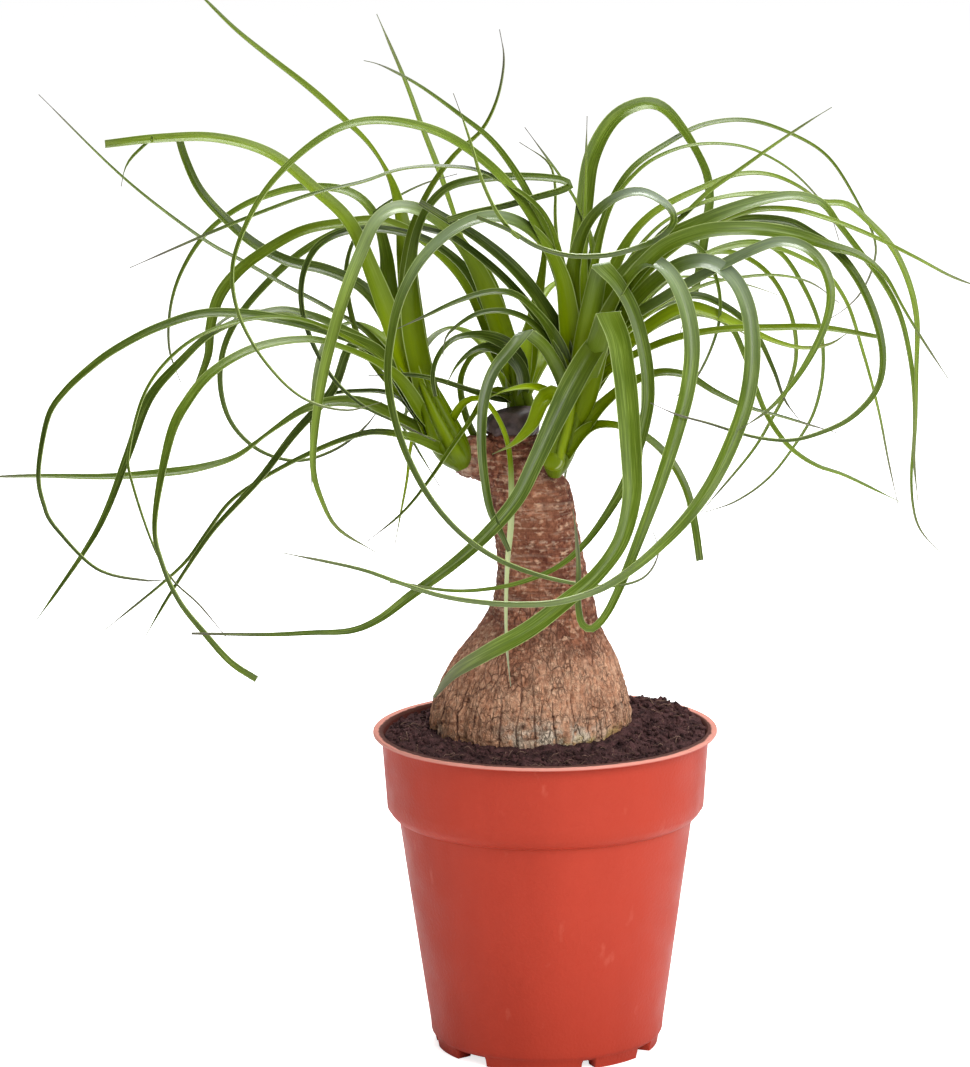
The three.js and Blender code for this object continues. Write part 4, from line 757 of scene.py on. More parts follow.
# routes on the sight plane, root to tip: name, widths seen along the leaf, how far the tip reaches back
# (front is negative), and x, z pairs
drawnLeaves = {
    "left": [
        ("upperLeftCut", (7, 6, 4, 3.2), -25, (-42, 236, -52, 265, -62, 293, -71, 314, -84, 327, -100, 340,
            -120, 346, -141, 346, -161, 344)),
        ("darkHook", (5, 4.5, 3), 12, (-41, 234, -50, 262, -59, 281, -68, 291, -81, 297, -94, 300, -107, 307,
            -119, 318, -127, 328, -132, 340, -134, 348)),
        ("topSpear", (6, 8, 8, 1, 2.7, 2.2, 1.2), 32, (-43, 240, -49, 285, -51, 310, -54, 325, -58, 335,
            -64, 344, -72, 352, -85, 364, -100, 376, -112, 386, -122, 396, -129, 403)),
        ("outerArc", (4.5, 3.5, 2, 1), -60, (-44, 240, -58, 262, -68, 269.6, -94, 277.6, -122, 281, -142, 276,
            -159, 267.5, -170, 259.5, -179, 251, -185, 241.5, -189, 221, -187, 208, -183, 200, -168, 184.3,
            -150, 179.8, -140, 180.3)),
        ("innerArc", (4, 3, 2, 4, 3, 1.2), -40, (-43, 242, -61.6, 266, -75, 275, -88, 280.3, -101, 281.5,
            -121.6, 274, -135, 262.5, -147, 248.6, -155, 228.5, -164, 206, -173, 190.4, -191.5, 164.5)),
        ("outerThread", (1.5, 1, 0.7), -75, (-46, 246, -62, 264, -85, 277, -105, 279, -125, 273.7, -139, 264,
            -149, 250, -155, 228.5, -154, 217, -147, 194, -140, 180.4, -130, 170.5, -120, 158)),
        ("thickArc", (2.4, 2.2, 2, 3, 3.4, 4, 2.8, 1.5, 1.5, 2.1, 2.6), -90, (-42, 238, -56, 258, -78, 269,
            -92, 270.6, -108, 267.3, -122.4, 259.2, -132, 248.5, -139.4, 233.8, -145.8, 202, -143, 185,
            -137, 171.4, -128.5, 160, -118.5, 148.3, -108.7, 141.5)),
        ("longTwisted", (3.5, 5, 1, 3.5, 2.4, 1), -20, (-36, 232, -49, 238, -62, 245, -75, 247.4, -88, 244.8,
            -101.5, 236.4, -114.5, 227, -127, 222.9, -140, 221, -163, 219.5, -190, 220, -212, 219.6)),
        ("lowerLeft", (4, 3.5, 2, 1.2), 30, (-44, 243, -60, 264, -71, 268, -78.3, 251.5, -93, 235,
            -106, 218.3, -121.7, 201.5, -130, 190.6, -141.7, 173, -150.2, 158.6)),
        ("lowStrand", (3, 2, 1.2, 1.4, 0.8), 55, (-36, 228, -44, 232, -54, 234.8, -64, 235.6, -76, 232.5,
            -90, 226.5, -104, 219, -117, 210, -126, 198.5, -134, 187.5, -143.6, 178.6, -158, 167,
            -165.6, 160.8)),
        ("farStraight", (2, 1.2, 0.6), 45, (-43, 240, -62, 270, -78, 281.6, -95, 291, -110, 299.8, -126, 309,
            -154, 331.3, -185, 362.5)),
        ("smallSide", (2, 1.5, 1), 20, (-45, 238, -52, 248, -60, 251, -68.5, 251.3, -76, 250.8, -84, 248.5,
            -92, 243)),
        ("roundArc", (4.5, 4.5, 3.5, 2.5, 1.5, 0.8), 50, (-42, 240, -50, 262, -56.5, 285, -58, 303,
            -62.5, 318, -72, 326, -88, 327.5, -100, 325, -112, 320, -124, 311, -133, 298, -138, 284,
            -139, 268, -135, 255)),
        ("tallRight", (4, 3.5, 2.5, 2, 1.2, 0.6), -15, (-40, 240, -46, 264, -50, 288, -49, 308, -42, 325,
            -32, 339, -22, 348, -16, 360, -13.5, 374, -15, 385)),
        ("hairpin", (4, 3.5, 3, 3, 2.5, 2.2), -34, (-42, 244, -48, 275, -48, 300, -44, 316, -36, 326,
            -26, 329.5, -12, 330.8, 2, 330.3, 10.5, 328.4, 8, 326, -2, 323.2, -14, 320, -27, 317.3,
            -35, 315)),
        ("driedStrip", (1.8, 1.8, 2.2, 1.6, 1), -48, (-36, 236, -30, 246, -23, 248, -17, 241, -13, 230,
            -12, 215, -12.3, 200, -13.5, 188, -14.3, 172, -14.3, 156, -13.5, 145, -12.8, 138)),
        ("slimHook", (2, 2, 0.8, 0.6), 30, (-48, 246, -57, 254, -64, 263, -69, 273, -72, 286, -72.5, 298,
            -69, 309, -62, 318, -52, 324.5, -42, 329, -31, 332)),
        ("hangingHair", (1, 0.8, 0.6), 14, (-40, 242, -46, 240, -49.5, 230, -51, 218, -53.5, 205, -56, 192)),
    ],
    "right": [
        ("topCurl", (3.5, 3, 2.5, 1.5, 0.8), -30, (12, 262, 10, 280, 6, 300, 0, 314, -8, 330, -18, 344,
            -30, 354, -45, 365, -58, 372, -65, 374)),
        ("bigLoop", (4, 3.5, 3.5, 2.5, 1.5, 1, 0.8), -75, (13, 262, 9, 285, 3, 302, -5, 318, -15, 331,
            -28, 342, -42, 349, -60, 352, -75, 349, -90, 339, -103, 325, -112, 308, -115, 294, -112, 278,
            -103, 262, -90, 249, -74, 244, -60, 247)),
        ("slimLoop", (2.5, 2, 1.2, 0.8, 1.2, 1.5, 0.6), -50, (12, 266, 8, 295, 0, 318, -20, 332, -36, 335,
            -52, 334, -66, 329.5, -85, 325, -105, 318, -125, 310, -153, 298)),
        ("paleFront", (4.5, 4.5, 4.5, 4, 3, 2.5, 2, 2, 1, 0.6), -85, (12, 258, 10, 276, 7, 294, 0, 307,
            -10, 314.5, -21, 316, -33, 311, -44, 301, -52, 287, -56, 272, -57.5, 256, -55, 240, -50, 225,
            -42, 210, -31, 197, -18, 187.5, -4, 181.5, 12, 177.5, 27, 176.5, 38, 180, 43, 189, 41, 197)),
        ("foldBack", (3.5, 3.5, 3.5, 2, 1.6, 1.4), -42, (12, 262, 11, 280, 12, 298, 17, 313, 26, 322, 36, 325,
            45, 321, 49, 315, 45, 309, 36, 304.5, 24, 301.5, 10, 301.5, -2, 305, -12, 311, -24, 316)),
        ("tallLoop", (5, 5.5, 6.5, 7.2, 7, 5.8, 4.3, 2.8, 3.6, 3.6, 3), 40, (13, 264, 13, 290, 14, 305,
            16, 320, 18, 335, 22, 345, 27, 352, 33, 356, 40, 357.5, 46, 355, 52, 348, 57, 340, 61, 331,
            62, 322, 61, 314, 59, 300, 56, 285)),
        ("innerSpear", (2, 1.5, 0.7), -12, (14, 262, 15, 290, 16, 320, 17, 353)),
        ("longTop", (3, 2.5, 2, 1, 0.8, 0.6), 60, (14, 262, 16, 285, 20, 305, 26, 322, 34, 334, 47, 343,
            60, 349.5, 76, 351, 92, 346, 106, 337, 117, 320, 123.3, 306, 122.5, 296, 118, 286.5, 112, 280.5,
            106.5, 277)),
        ("innerTop", (2, 1.5, 0.8, 0.6), 28, (14, 260, 18, 290, 25, 318, 36, 333, 48, 340, 60, 342.5,
            74, 341.5, 86, 336.5, 96, 329, 106, 317, 110, 306)),
        ("straightRight", (2.5, 2, 1.5, 0.8), -18, (15, 260, 28, 288, 42, 307, 52, 315.5, 62, 325, 72, 332,
            86, 342, 98, 350, 107, 355.5)),
        ("archRight", (5, 5, 3, 2, 1.5, 1), 12, (14, 256, 22, 285, 31, 305, 39, 315, 48, 321, 60, 326.5,
            72, 331, 84, 331, 95, 326.5, 104, 319.5, 112, 311)),
        ("outerRight", (3, 1.2, 0.8, 2, 2.5, 2.5, 1.5, 1), -30, (15, 258, 28, 292, 42, 311, 58, 320,
            72, 323.5, 88, 323.5, 103, 320.5, 113, 319.5, 122, 312, 130, 303, 136, 290, 139, 276, 139, 258,
            139, 240, 138.5, 224, 140, 208)),
        ("farRight", (3, 2.5, 2, 1.5, 1), -52, (15, 258, 35, 290, 55, 308, 75, 317, 92, 318, 107, 314,
            122, 308, 138, 300, 152, 292.5, 165, 287.5)),
        ("wideTop", (6, 6.5, 6.5, 4, 2, 2, 1.8, 1.2, 0.8), -8, (14, 256, 24, 285, 40, 303, 58, 313, 76, 320,
            92, 323, 103, 320.5, 110, 312, 118, 301.5, 126, 291, 132, 280, 135.5, 268, 138, 252, 138.5, 235,
            137.5, 218, 138.5, 205, 141.5, 196.5, 148.5, 188.5)),
        ("wideMiddle", (5.5, 6, 6, 5, 1, 0.8), -38, (14, 254, 26, 282, 42, 302, 58, 309.5, 75, 311, 92, 309,
            106, 304.5, 118, 300.5, 127, 293, 134, 281, 140, 271, 151, 254)),
        ("darkRound", (3, 3, 3, 3.5, 3, 2, 1.2, 0.7), -64, (14, 256, 30, 290, 50, 307, 72, 314, 90, 313.5,
            100, 308.5, 110, 301, 118, 290, 124, 276, 126.5, 262, 124, 250, 115, 240, 104, 234.5, 92, 231.5,
            78, 233, 62, 238, 50, 241.5, 40, 246)),
        ("paleFold", (4, 4, 4, 4, 3, 1), -72, (14, 254, 30, 275, 46, 286, 60, 294, 76, 302, 88, 306,
            98, 303.5, 104.5, 296, 107, 286, 105, 275, 100, 264, 93, 253, 84, 243, 73, 235.5)),
        ("paleLong", (5, 5.5, 6, 6.5, 6, 4, 2.4, 2.2, 1.8, 1), -118, (13, 250, 24, 270, 36, 286, 48, 296,
            60, 299, 70, 293.5, 76, 282, 78, 266, 76.5, 250, 72, 235, 64, 217.5, 54, 203, 42, 190.5,
            31, 181.5, 20, 175, 5, 170.5, -10, 169.7, -25, 170.8, -40, 173.5, -55, 178.5, -70, 183.8,
            -98, 190)),
        ("hookedTip", (2.2, 2.4, 3.4, 6.2, 6.6, 6, 5.4, 4.6, 4, 3.6, 2.6, 1), -92, (13, 248, 20, 270, 30, 290,
            39, 299, 47, 295, 53, 283, 55.5, 268, 54, 252, 50, 236, 44, 217, 37, 198, 30, 180, 24, 167,
            18.5, 160.5, 14.5, 161.5, 12.8, 170, 13, 184, 12, 198, 11, 206)),
        ("innerHanging", (4, 4, 4, 3.5, 1.5, 1.2, 1), -66, (13, 248, 16, 272, 20, 290, 25, 298, 31, 291,
            36, 278, 39, 264, 39.7, 250, 38, 239, 35, 228, 31, 217, 25, 206, 16, 193.5, 6, 184.5, -6, 179,
            -20, 175.8, -36, 175.2, -58, 178.8)),
        ("broadFront", (6, 7.5, 7.5, 7, 6.5, 4.5, 4.5, 4, 0.8), -108, (12, 244, 18, 262, 23.5, 279, 27, 268,
            30, 254, 32, 240, 33.5, 225, 33, 210, 29, 194, 20, 181, 9, 171.5, -6, 160, -22, 151, -34, 143.5,
            -42, 134)),
        ("broadFold", (5, 6, 6, 5, 4, 3.5, 2, 1.2, 0.9), -78, (12, 242, 18, 256, 20.5, 266, 17, 267, 11, 256,
            5, 241, -2, 225, -10, 210, -21, 197, -35, 184.5, -50, 173.5, -62, 164.5, -73, 160, -88, 159.3,
            -105, 158.7, -133, 159.3)),
        ("trunkSide", (3.5, 3.5, 3, 3, 2.8, 2), -52, (9, 248, 5, 262, -2, 271, -7, 272.5, -13, 267, -19, 257,
            -22.5, 245, -23, 232, -22, 218, -20, 206, -16, 197, -13, 190)),
        ("shortFront", (4, 3.6, 3, 1), -26, (9, 242, 4, 249.5, -0.5, 246, -4, 238, -11, 231, -19, 227)),
        ("lowArch", (3, 2.5, 2, 1), -34, (10, 256, 6, 268, -1, 279, -10, 287, -20, 288, -32, 284.5, -44, 279,
            -54, 274.5)),
        ("lowestArch", (2.5, 2.2, 2, 1), -26, (9, 250, 6, 262, 1, 271, -6, 278, -15, 281, -24, 280, -31, 276,
            -36, 271, -37, 264)),
        ("wideLeft", (5, 5, 5, 4, 2.5), -17, (11, 254, 6, 272, -2, 286.5, -12, 298.5, -24, 308.5, -36, 316,
            -45, 321.5)),
        ("nextLeft", (3.5, 3.5, 3, 2), -8, (10, 252, 5, 267, -3, 280, -13, 292, -24, 302, -34, 309,
            -44, 312)),
        ("threadUp", (1.5, 1.2, 0.7), 12, (13, 260, 9, 285, 6, 303, 5, 316, 5, 327, 2.5, 336, -8, 343.5)),
        ("threadCross", (1.8, 1.2, 0.7), 22, (15, 260, 19, 285, 19, 303, 15, 317, 8, 329.5, -6, 349)),
        ("sideArch", (3.5, 3.5, 2.5, 1, 0.7), -32, (12, 232, 20, 243, 31, 252.5, 43, 257.3, 54, 256, 64, 250,
            76, 244.3, 90, 240.3, 110, 234)),
        ("cutHook", (2.5, 2.5, 3, 3, 3), -22, (9, 226, 13, 233, 19, 237.5, 28, 237.5, 38, 233.5, 47, 225,
            53.5, 213, 56.5, 200, 58.5, 186)),
        ("levelRight", (3, 2.8, 2.5, 2.5, 1.5), -36, (13, 246, 24, 258, 38, 266, 52, 271, 68, 273.5, 86, 274,
            104, 273.8, 126, 270)),
        ("brightFold", (4.5, 5, 5, 2, 1), -24, (13, 244, 26, 262, 40, 275, 52, 281.5, 62, 280, 74, 274.5,
            86, 269, 97, 266.3, 107, 267.8, 115, 273)),
        ("backDrop", (3, 3, 2.5, 1), 34, (14, 252, 34, 276, 54, 286, 68, 282, 79, 272, 86, 258, 90, 247,
            96, 238.5)),
        ("backTrail", (3, 2.5, 2, 2, 1.2), 50, (13, 248, 32, 268, 52, 279, 68, 276, 75, 264, 79, 252, 84, 240,
            92, 229, 102, 222, 113, 218, 133, 208)),
        ("backArc", (3, 2.5, 1.5, 1.5, 0.8), 66, (14, 252, 30, 280, 48, 296, 64, 302.3, 76, 300, 86, 291.5,
            92.5, 278, 94.3, 264, 91.5, 252, 85, 239, 77, 226, 59, 204.5)),
        ("backHair", (2.5, 1.5, 0.8), 82, (15, 252, 36, 282, 58, 300, 76, 306, 88, 302, 97, 289, 103, 274,
            104.3, 258, 101, 242, 93.5, 229, 84, 217, 72, 208.5, 60, 204.3)),
        ("levelHair", (2, 1.2, 0.6), 18, (15, 256, 40, 280, 60, 290, 75, 293, 88, 293.5, 100, 290.5,
            110, 283)),
        ("rightHair", (2.5, 1.5, 0.7), 44, (15, 254, 45, 292, 75, 305, 100, 298, 112, 285, 119, 265, 125, 243,
            129, 223, 132.5, 207)),
        ("smallLoop", (2.5, 1.8, 1.2, 0.8), -20, (14, 254, 26, 286, 40, 301, 52, 306, 60, 302, 65, 291,
            66, 279, 63, 267, 57, 255, 50, 248.5)),
        ("capFront", (2.2, 2, 1.2), -13, (6, 246, 0, 251.5, -6, 252.5, -14, 251, -20, 248.5)),
    ],
    "back": [
        ("backSpear", (3, 2.5, 1, 2.3, 2, 1), 30, (-8, 252, -17, 280, -28, 304, -33, 319, -38, 334, -44, 350,
            -50, 367, -60, 391)),
        ("leftCircle", (3.5, 3, 3, 2.5, 1.5, 1), 24, (-12, 258, -20, 290, -30, 306, -42, 312, -58, 314,
            -72, 312, -88, 304, -102, 292, -113, 279, -119, 266, -120, 252, -116, 239, -106, 229, -92, 225,
            -78, 229, -67, 237, -60, 246)),
        ("greyBend", (4, 4, 5, 5, 4.5, 3, 1), -70, (-9, 252, -18, 282, -28, 303, -40, 316, -52, 320, -61, 315,
            -67, 303, -73, 288, -78, 272, -82, 256, -85, 238, -86, 222, -83, 210, -77, 199, -63, 190)),
        ("brightDrop", (3.5, 3.5, 3.5, 4, 5, 2), -18, (-11, 256, -26, 288, -42, 306, -58, 314.5, -74, 314,
            -88, 311.5, -100, 305.5, -112, 297, -120, 287, -123.5, 275, -124.5, 265, -130, 251)),
        ("darkHoop", (3, 3, 3, 2, 1.5, 1), -42, (-11, 258, -24, 290, -38, 305, -54, 311, -70, 311.5,
            -82, 306.5, -88, 297, -89.5, 286, -87.5, 275, -83, 264, -76, 253.5, -66, 245, -54, 239,
            -40, 232)),
        ("smallHoop", (2.5, 2, 1.5), -46, (-8, 250, -8, 262, -14, 269, -24, 272, -33, 270.5, -39, 264,
            -41, 256, -40, 249)),
        ("smallerHoop", (2.5, 2, 1.2), -34, (-8, 246, -7, 255, -10, 262, -17, 267, -25, 266.5, -32, 260.5,
            -36, 253)),
        ("thinCross", (2, 1.5, 1, 0.6), -36, (-9, 246, -15, 250.5, -21, 249, -27, 240, -34, 230, -43, 217,
            -53, 205, -67, 193.5)),
        ("levelShort", (2, 1.8, 1.2), -30, (-9, 248, -16, 248.5, -26, 251, -38, 255, -50, 257.3, -65, 257)),
        ("innerUpright", (5, 5, 3, 1), 22, (-7, 252, -4, 272, -1, 288, 1, 303, 0, 316)),
    ],
}
rearBlades = {  # far side, each: bearing (90 is straight back), curl, length, lean at root and tip, width
    "left": ((114, -47, 140, 44, 143, 4.4), (117, -27, 218, 46, 165, 5), (149, -55, 173, 44, 130, 4.6)),
    "right": ((72, 30, 235, 47, 170, 5.4), (53, 58, 220, 27, 144, 4.8), (80, -4, 166, 48, 172, 4.2),
        (52, 37, 140, 28, 149, 4.4), (78, -50, 170, 48, 112, 4.6)),
    "back": ((59, -31, 156, 47, 125, 4.6), (66, 57, 198, 50, 169, 5.2), (87, 2, 130, 47, 170, 4.4),
        (76, -22, 141, 16, 151, 4), (63, 12, 157, 42, 167, 5), (116, -16, 168, 46, 160, 5)),
}
rearRoot = {"left": (-42, 244), "right": (12, 246), "back": (-9, 248)}
folds = {  # leaves that fold over at the top: routes up and down, their widths, the fold's slope and radius
    "broadFront": {"rise": (12, 244, 17, 258, 21.5, 271, 24.4, 279.6), "riseWidths": (7.5, 8.5), "slope": 5,
        "radius": 0.7, "fall": (24.6, 279.6, 28.2, 270.7, 30, 260, 31.3, 249.1, 33, 224.4, 33, 210, 29, 194,
        20, 181, 9, 171.5, -6, 160, -22, 151, -34, 143.5, -42, 134), "fallWidths": (8.4, 8.2, 8.2, 7.8, 7, 6,
        5.4, 5.4, 6, 6, 4.8, 1)},
    "broadFold": {"rise": (11, 238, 14.4, 243, 17.6, 252, 20.3, 264, 21, 268.5), "riseWidths": (5, 5.5, 6),
        "slope": -17, "radius": 0.9, "fall": (20.4, 268.8, 15.8, 262, 10.2, 251.8, 4.8, 240.6, -2.6, 224.7,
        -10, 210, -21, 197, -35, 184.5, -50, 173.5, -62, 164.5, -73, 160, -88, 159.3, -105, 158.7,
        -133, 159.3), "fallWidths": (6.4, 6.6, 6.4, 6, 5.4, 4.6, 4, 3.4, 2.6, 2, 1.6, 1.2, 0.9)},
    "innerHanging": {"rise": (13, 248, 16, 270, 19.5, 288, 21.5, 297), "riseWidths": (5, 5), "slope": 10,
        "radius": 1.4, "fall": (22, 297.5, 28, 291, 34, 280, 38, 265, 39.4, 250, 38, 239, 35, 228, 31, 217,
        25, 206, 16, 193.5, 6, 184.5, -6, 179, -20, 175.8, -36, 175.2, -58, 178.8), "fallWidths": (4.6, 4.8,
        4.8, 4.4, 3.6, 2.6, 1.8, 1.5, 1.2, 1)},
    "trunkSide": {"rise": (9, 248, 6.5, 257, 1, 267, -5, 272.5), "riseWidths": (4, 4.4), "slope": 12,
        "radius": 1.0, "fall": (-6.5, 273, -12, 266.5, -18.5, 258, -22, 247, -23, 232, -22, 218, -20, 206,
        -16, 197, -13, 190), "fallWidths": (4.2, 4.4, 4.2, 3.6, 3.2, 3, 2.6, 1.6)},
}
bulges = {"wideTop": -34, "wideMiddle": -20, "darkRound": 12}  # brought forwards or back
threads = {  # thin leaves beside the table: shoot, widths, depths and route
    "hookHair": ("left", (1, 0.9, 0.5), (-17.6, -13), (-143.4, 346.4, -146.9, 343.2, -151.5, 338.8,
        -154, 334.4, -155.4, 328.3)),
    "hangingThread": ("left", (0.9, 0.9, 0.7, 0.4), (8, 30, 40, 49), (-43, 250, -52.6, 240.4, -48.1, 231,
        -43.6, 223.2, -38.8, 215)),
    "paleThread": ("right", (1.3, 1.1, 1, 0.8, 0.4), (-46.6, -49), (-8.1, 308, -11, 310.3, -16.9, 318.2,
        -22.1, 329.9, -25.4, 341.5, -28.8, 352.2, -32.2, 361.8)),
    "innerRise": ("left", (2.6, 2.4, 2, 1.4), (13, 20), (-24.6, 231.8, -28.4, 240.8, -30.6, 251.2,
        -29.7, 258.2, -25.8, 264.4, -19.4, 266.8)),
}
shootAxis = {"left": (-34, 230, -52, 282), "right": (6, 227, 15, 285), "back": (-7.5, 236, -16, 290)}
bud = {"x": 3.9, "z": 224.6, "depth": -2.6, "radius": 4.3, "bulge": 2.6, "rows": 40, "sides": 64}
sheath = {
    "rows": 90, "sides": 140, "plates": 7, "relief": 1.1, "slimAt": (0, 0.3, 0.7, 1),
    "slim": (1, 1, 0.66, 0.2),
}
plainLook = {"dry": 0.0, "wan": 0.0, "underside": 0.0, "archHighlight": 0.0, "gloss": 0.4}
# partly the leaves' own colour and partly painted shade: leaves deep in the tangle are set dark
tones = {  # leaves darker or lighter than chance would give
    "wideLeft": 0.0, "nextLeft": 0.0, "lowArch": 0.0, "lowestArch": 0.0, "darkHook": 0.15, "darkHoop": 0.0,
    "hairpin": 0.2, "smallHoop": 0.0, "smallerHoop": 0.0, "smallSide": 0.0, "shortFront": 0.5,
    "darkRound": 0.2, "innerArc": 0.1, "thinCross": 0.0, "levelShort": 0.0, "slimHook": 0.1, "backDrop": 0.1,
    "bigLoop": 0.55, "paleFront": 0.4, "paleFold": 0.45, "paleLong": 0.4, "hookedTip": 0.45,
    "innerHanging": 0.45, "broadFront": 0.45, "broadFold": 0.2, "trunkSide": 0.1, "wideTop": 0.5,
    "wideMiddle": 0.5, "upperLeftCut": 0.6, "outerArc": 0.1, "thickArc": 0.4, "tallLoop": 0.45,
    "paleThread": 0.8, "lowerLeft": 0.1, "longTwisted": 0.3, "leftCircle": 0.3,
}
# painted shade in part: the bright yellow base is cut for leaves whose bases lie deep in the tangle's shade;
# the rest have green bases of their own
shaded = {  # leaves that lack the bright base
    "lowArch": 0.25, "lowestArch": 0.25, "smallHoop": 0.1, "smallerHoop": 0.1, "nextLeft": 0.3,
    "wideLeft": 0.3, "darkHoop": 0.3, "smallSide": 0.3, "trunkSide": 0.4, "darkHook": 0.5, "broadFront": 0.4,
    "thickArc": 0.45, "lowerLeft": 0.35, "outerArc": 0.35, "longTwisted": 0.4, "lowStrand": 0.3,
    "innerArc": 0.5, "levelShort": 0.1, "hookHair": 0, "hangingThread": 0, "paleThread": 0.3,
    "innerRise": 0.4,
}
# painted highlight: the glossier of these leaves also get a pale grey-blue tint on their level arch tops
gloss = {  # leaves with more or less grey sheen where they arch over
    "paleFold": 1, "paleLong": 1, "hookedTip": 1, "innerHanging": 1, "foldBack": 1, "wideTop": 0.5,
    "greyBend": 0.8, "paleFront": 0.6, "wideMiddle": 0.6, "broadFold": 0.6, "trunkSide": 0.8, "cutHook": 0.7,
    "outerArc": 0.2,
}
# painted light: these leaves keep a bright yellow-green far along, for light shining through them from behind
paintedBacklight = {  # leaves that stay bright far along
    "brightDrop": 0.8, "topSpear": 0.7, "brightFold": 0.9, "levelRight": 0.6, "shortFront": 0.9,
    "innerUpright": 0.8, "tallRight": 0.6, "upperLeftCut": 0.45, "backArc": 0.4, "farRight": 0.4,
    "archRight": 0.4,
}
leafLook = {  # screen colours
    "dark": (50, 67, 6), "mid": (100, 123, 26), "light": (162, 182, 86), "under": (118, 142, 56),
    "base": (156, 178, 0), "archHighlight": (196, 208, 204), "baseDeep": (78, 96, 0), "rim": (196, 212, 136),
    "dry": (112, 100, 104), "wan": (196, 204, 156),
}


def evenLine(route, sample):
    # a smooth curve through the route's points, twelve steps a span, then even steps along it
    pairs = np.reshape(route, (-1, 2))
    dense = smoothCurve(np.arange(len(pairs)), pairs, np.arange(12 * len(pairs) - 11) / 12)
    lengths = np.concatenate([[0], np.cumsum(np.linalg.norm(np.diff(dense, axis=0), axis=1))])
    count = max(4, int(lengths[-1] / sample + 0.5))
    target = lengths[-1] * np.arange(count + 1) / count
    return np.column_stack([np.interp(target, lengths, dense[:, c]) for c in (0, 1)]), lengths[-1]


def newBlade(name, shoot, flat, depth, total, seen, widths, side=None):
    line = np.column_stack([flat, depth])
    return dict(name=name, shoot=shoot, line=line, total=total, seen=seen, widths=widths, side=side)


def drawnBlade(shoot, name, seen, reach, route):
    # depth grows like a quarter sine from the shoot to the tip's reach
    flat, total = evenLine(route, blade["sample"])
    s = np.linspace(0, 1, len(flat))
    depth = blade["rootDepth"][shoot] + reach * np.sin(s * math.pi / 2)
    depth += bulges.get(name, 0) * np.sin(math.pi * np.minimum(1, s / 0.75)) ** 2
    seen = spreadOut(seen, s)
    seen = seen - blade["slim"] * np.maximum(0, seen - 1)
    return newBlade(name, shoot, flat, depth, total, seen, seen / math.cos(blade["turn"] * degrees))


def rearBlade(shoot, bearing, curl, length, leanRoot, leanTip, width):
    # leans over more and more along its length, and its bearing drifts
    steps = int(length / blade["sample"] + 0.5)
    s = np.arange(steps + 1) / steps
    lean = (leanRoot + (leanTip - leanRoot) * s ** 0.85) * degrees
    heading = (bearing + curl * s ** 1.5) * degrees
    ahead = [np.sin(lean) * np.cos(heading), np.sin(lean) * np.sin(heading), np.cos(lean)]
    ahead = np.column_stack(ahead) * length / steps
    points = onSight(*rearRoot[shoot], blade["rootDepth"][shoot]) + np.cumsum(ahead, axis=0) - ahead
    far = (eyePoint["distance"] + points[:, 1:2]) / eyePoint["distance"]
    flat = (points[:, ::2] - [0, eyePoint["height"]]) / far + [0, eyePoint["height"]]
    widths = width * (1 - 0.8 * s ** 1.6)
    side = np.column_stack([-np.sin(heading), np.cos(heading), 0 * s])
    return newBlade("rear", shoot, flat, points[:, 1], length, widths, widths, side)


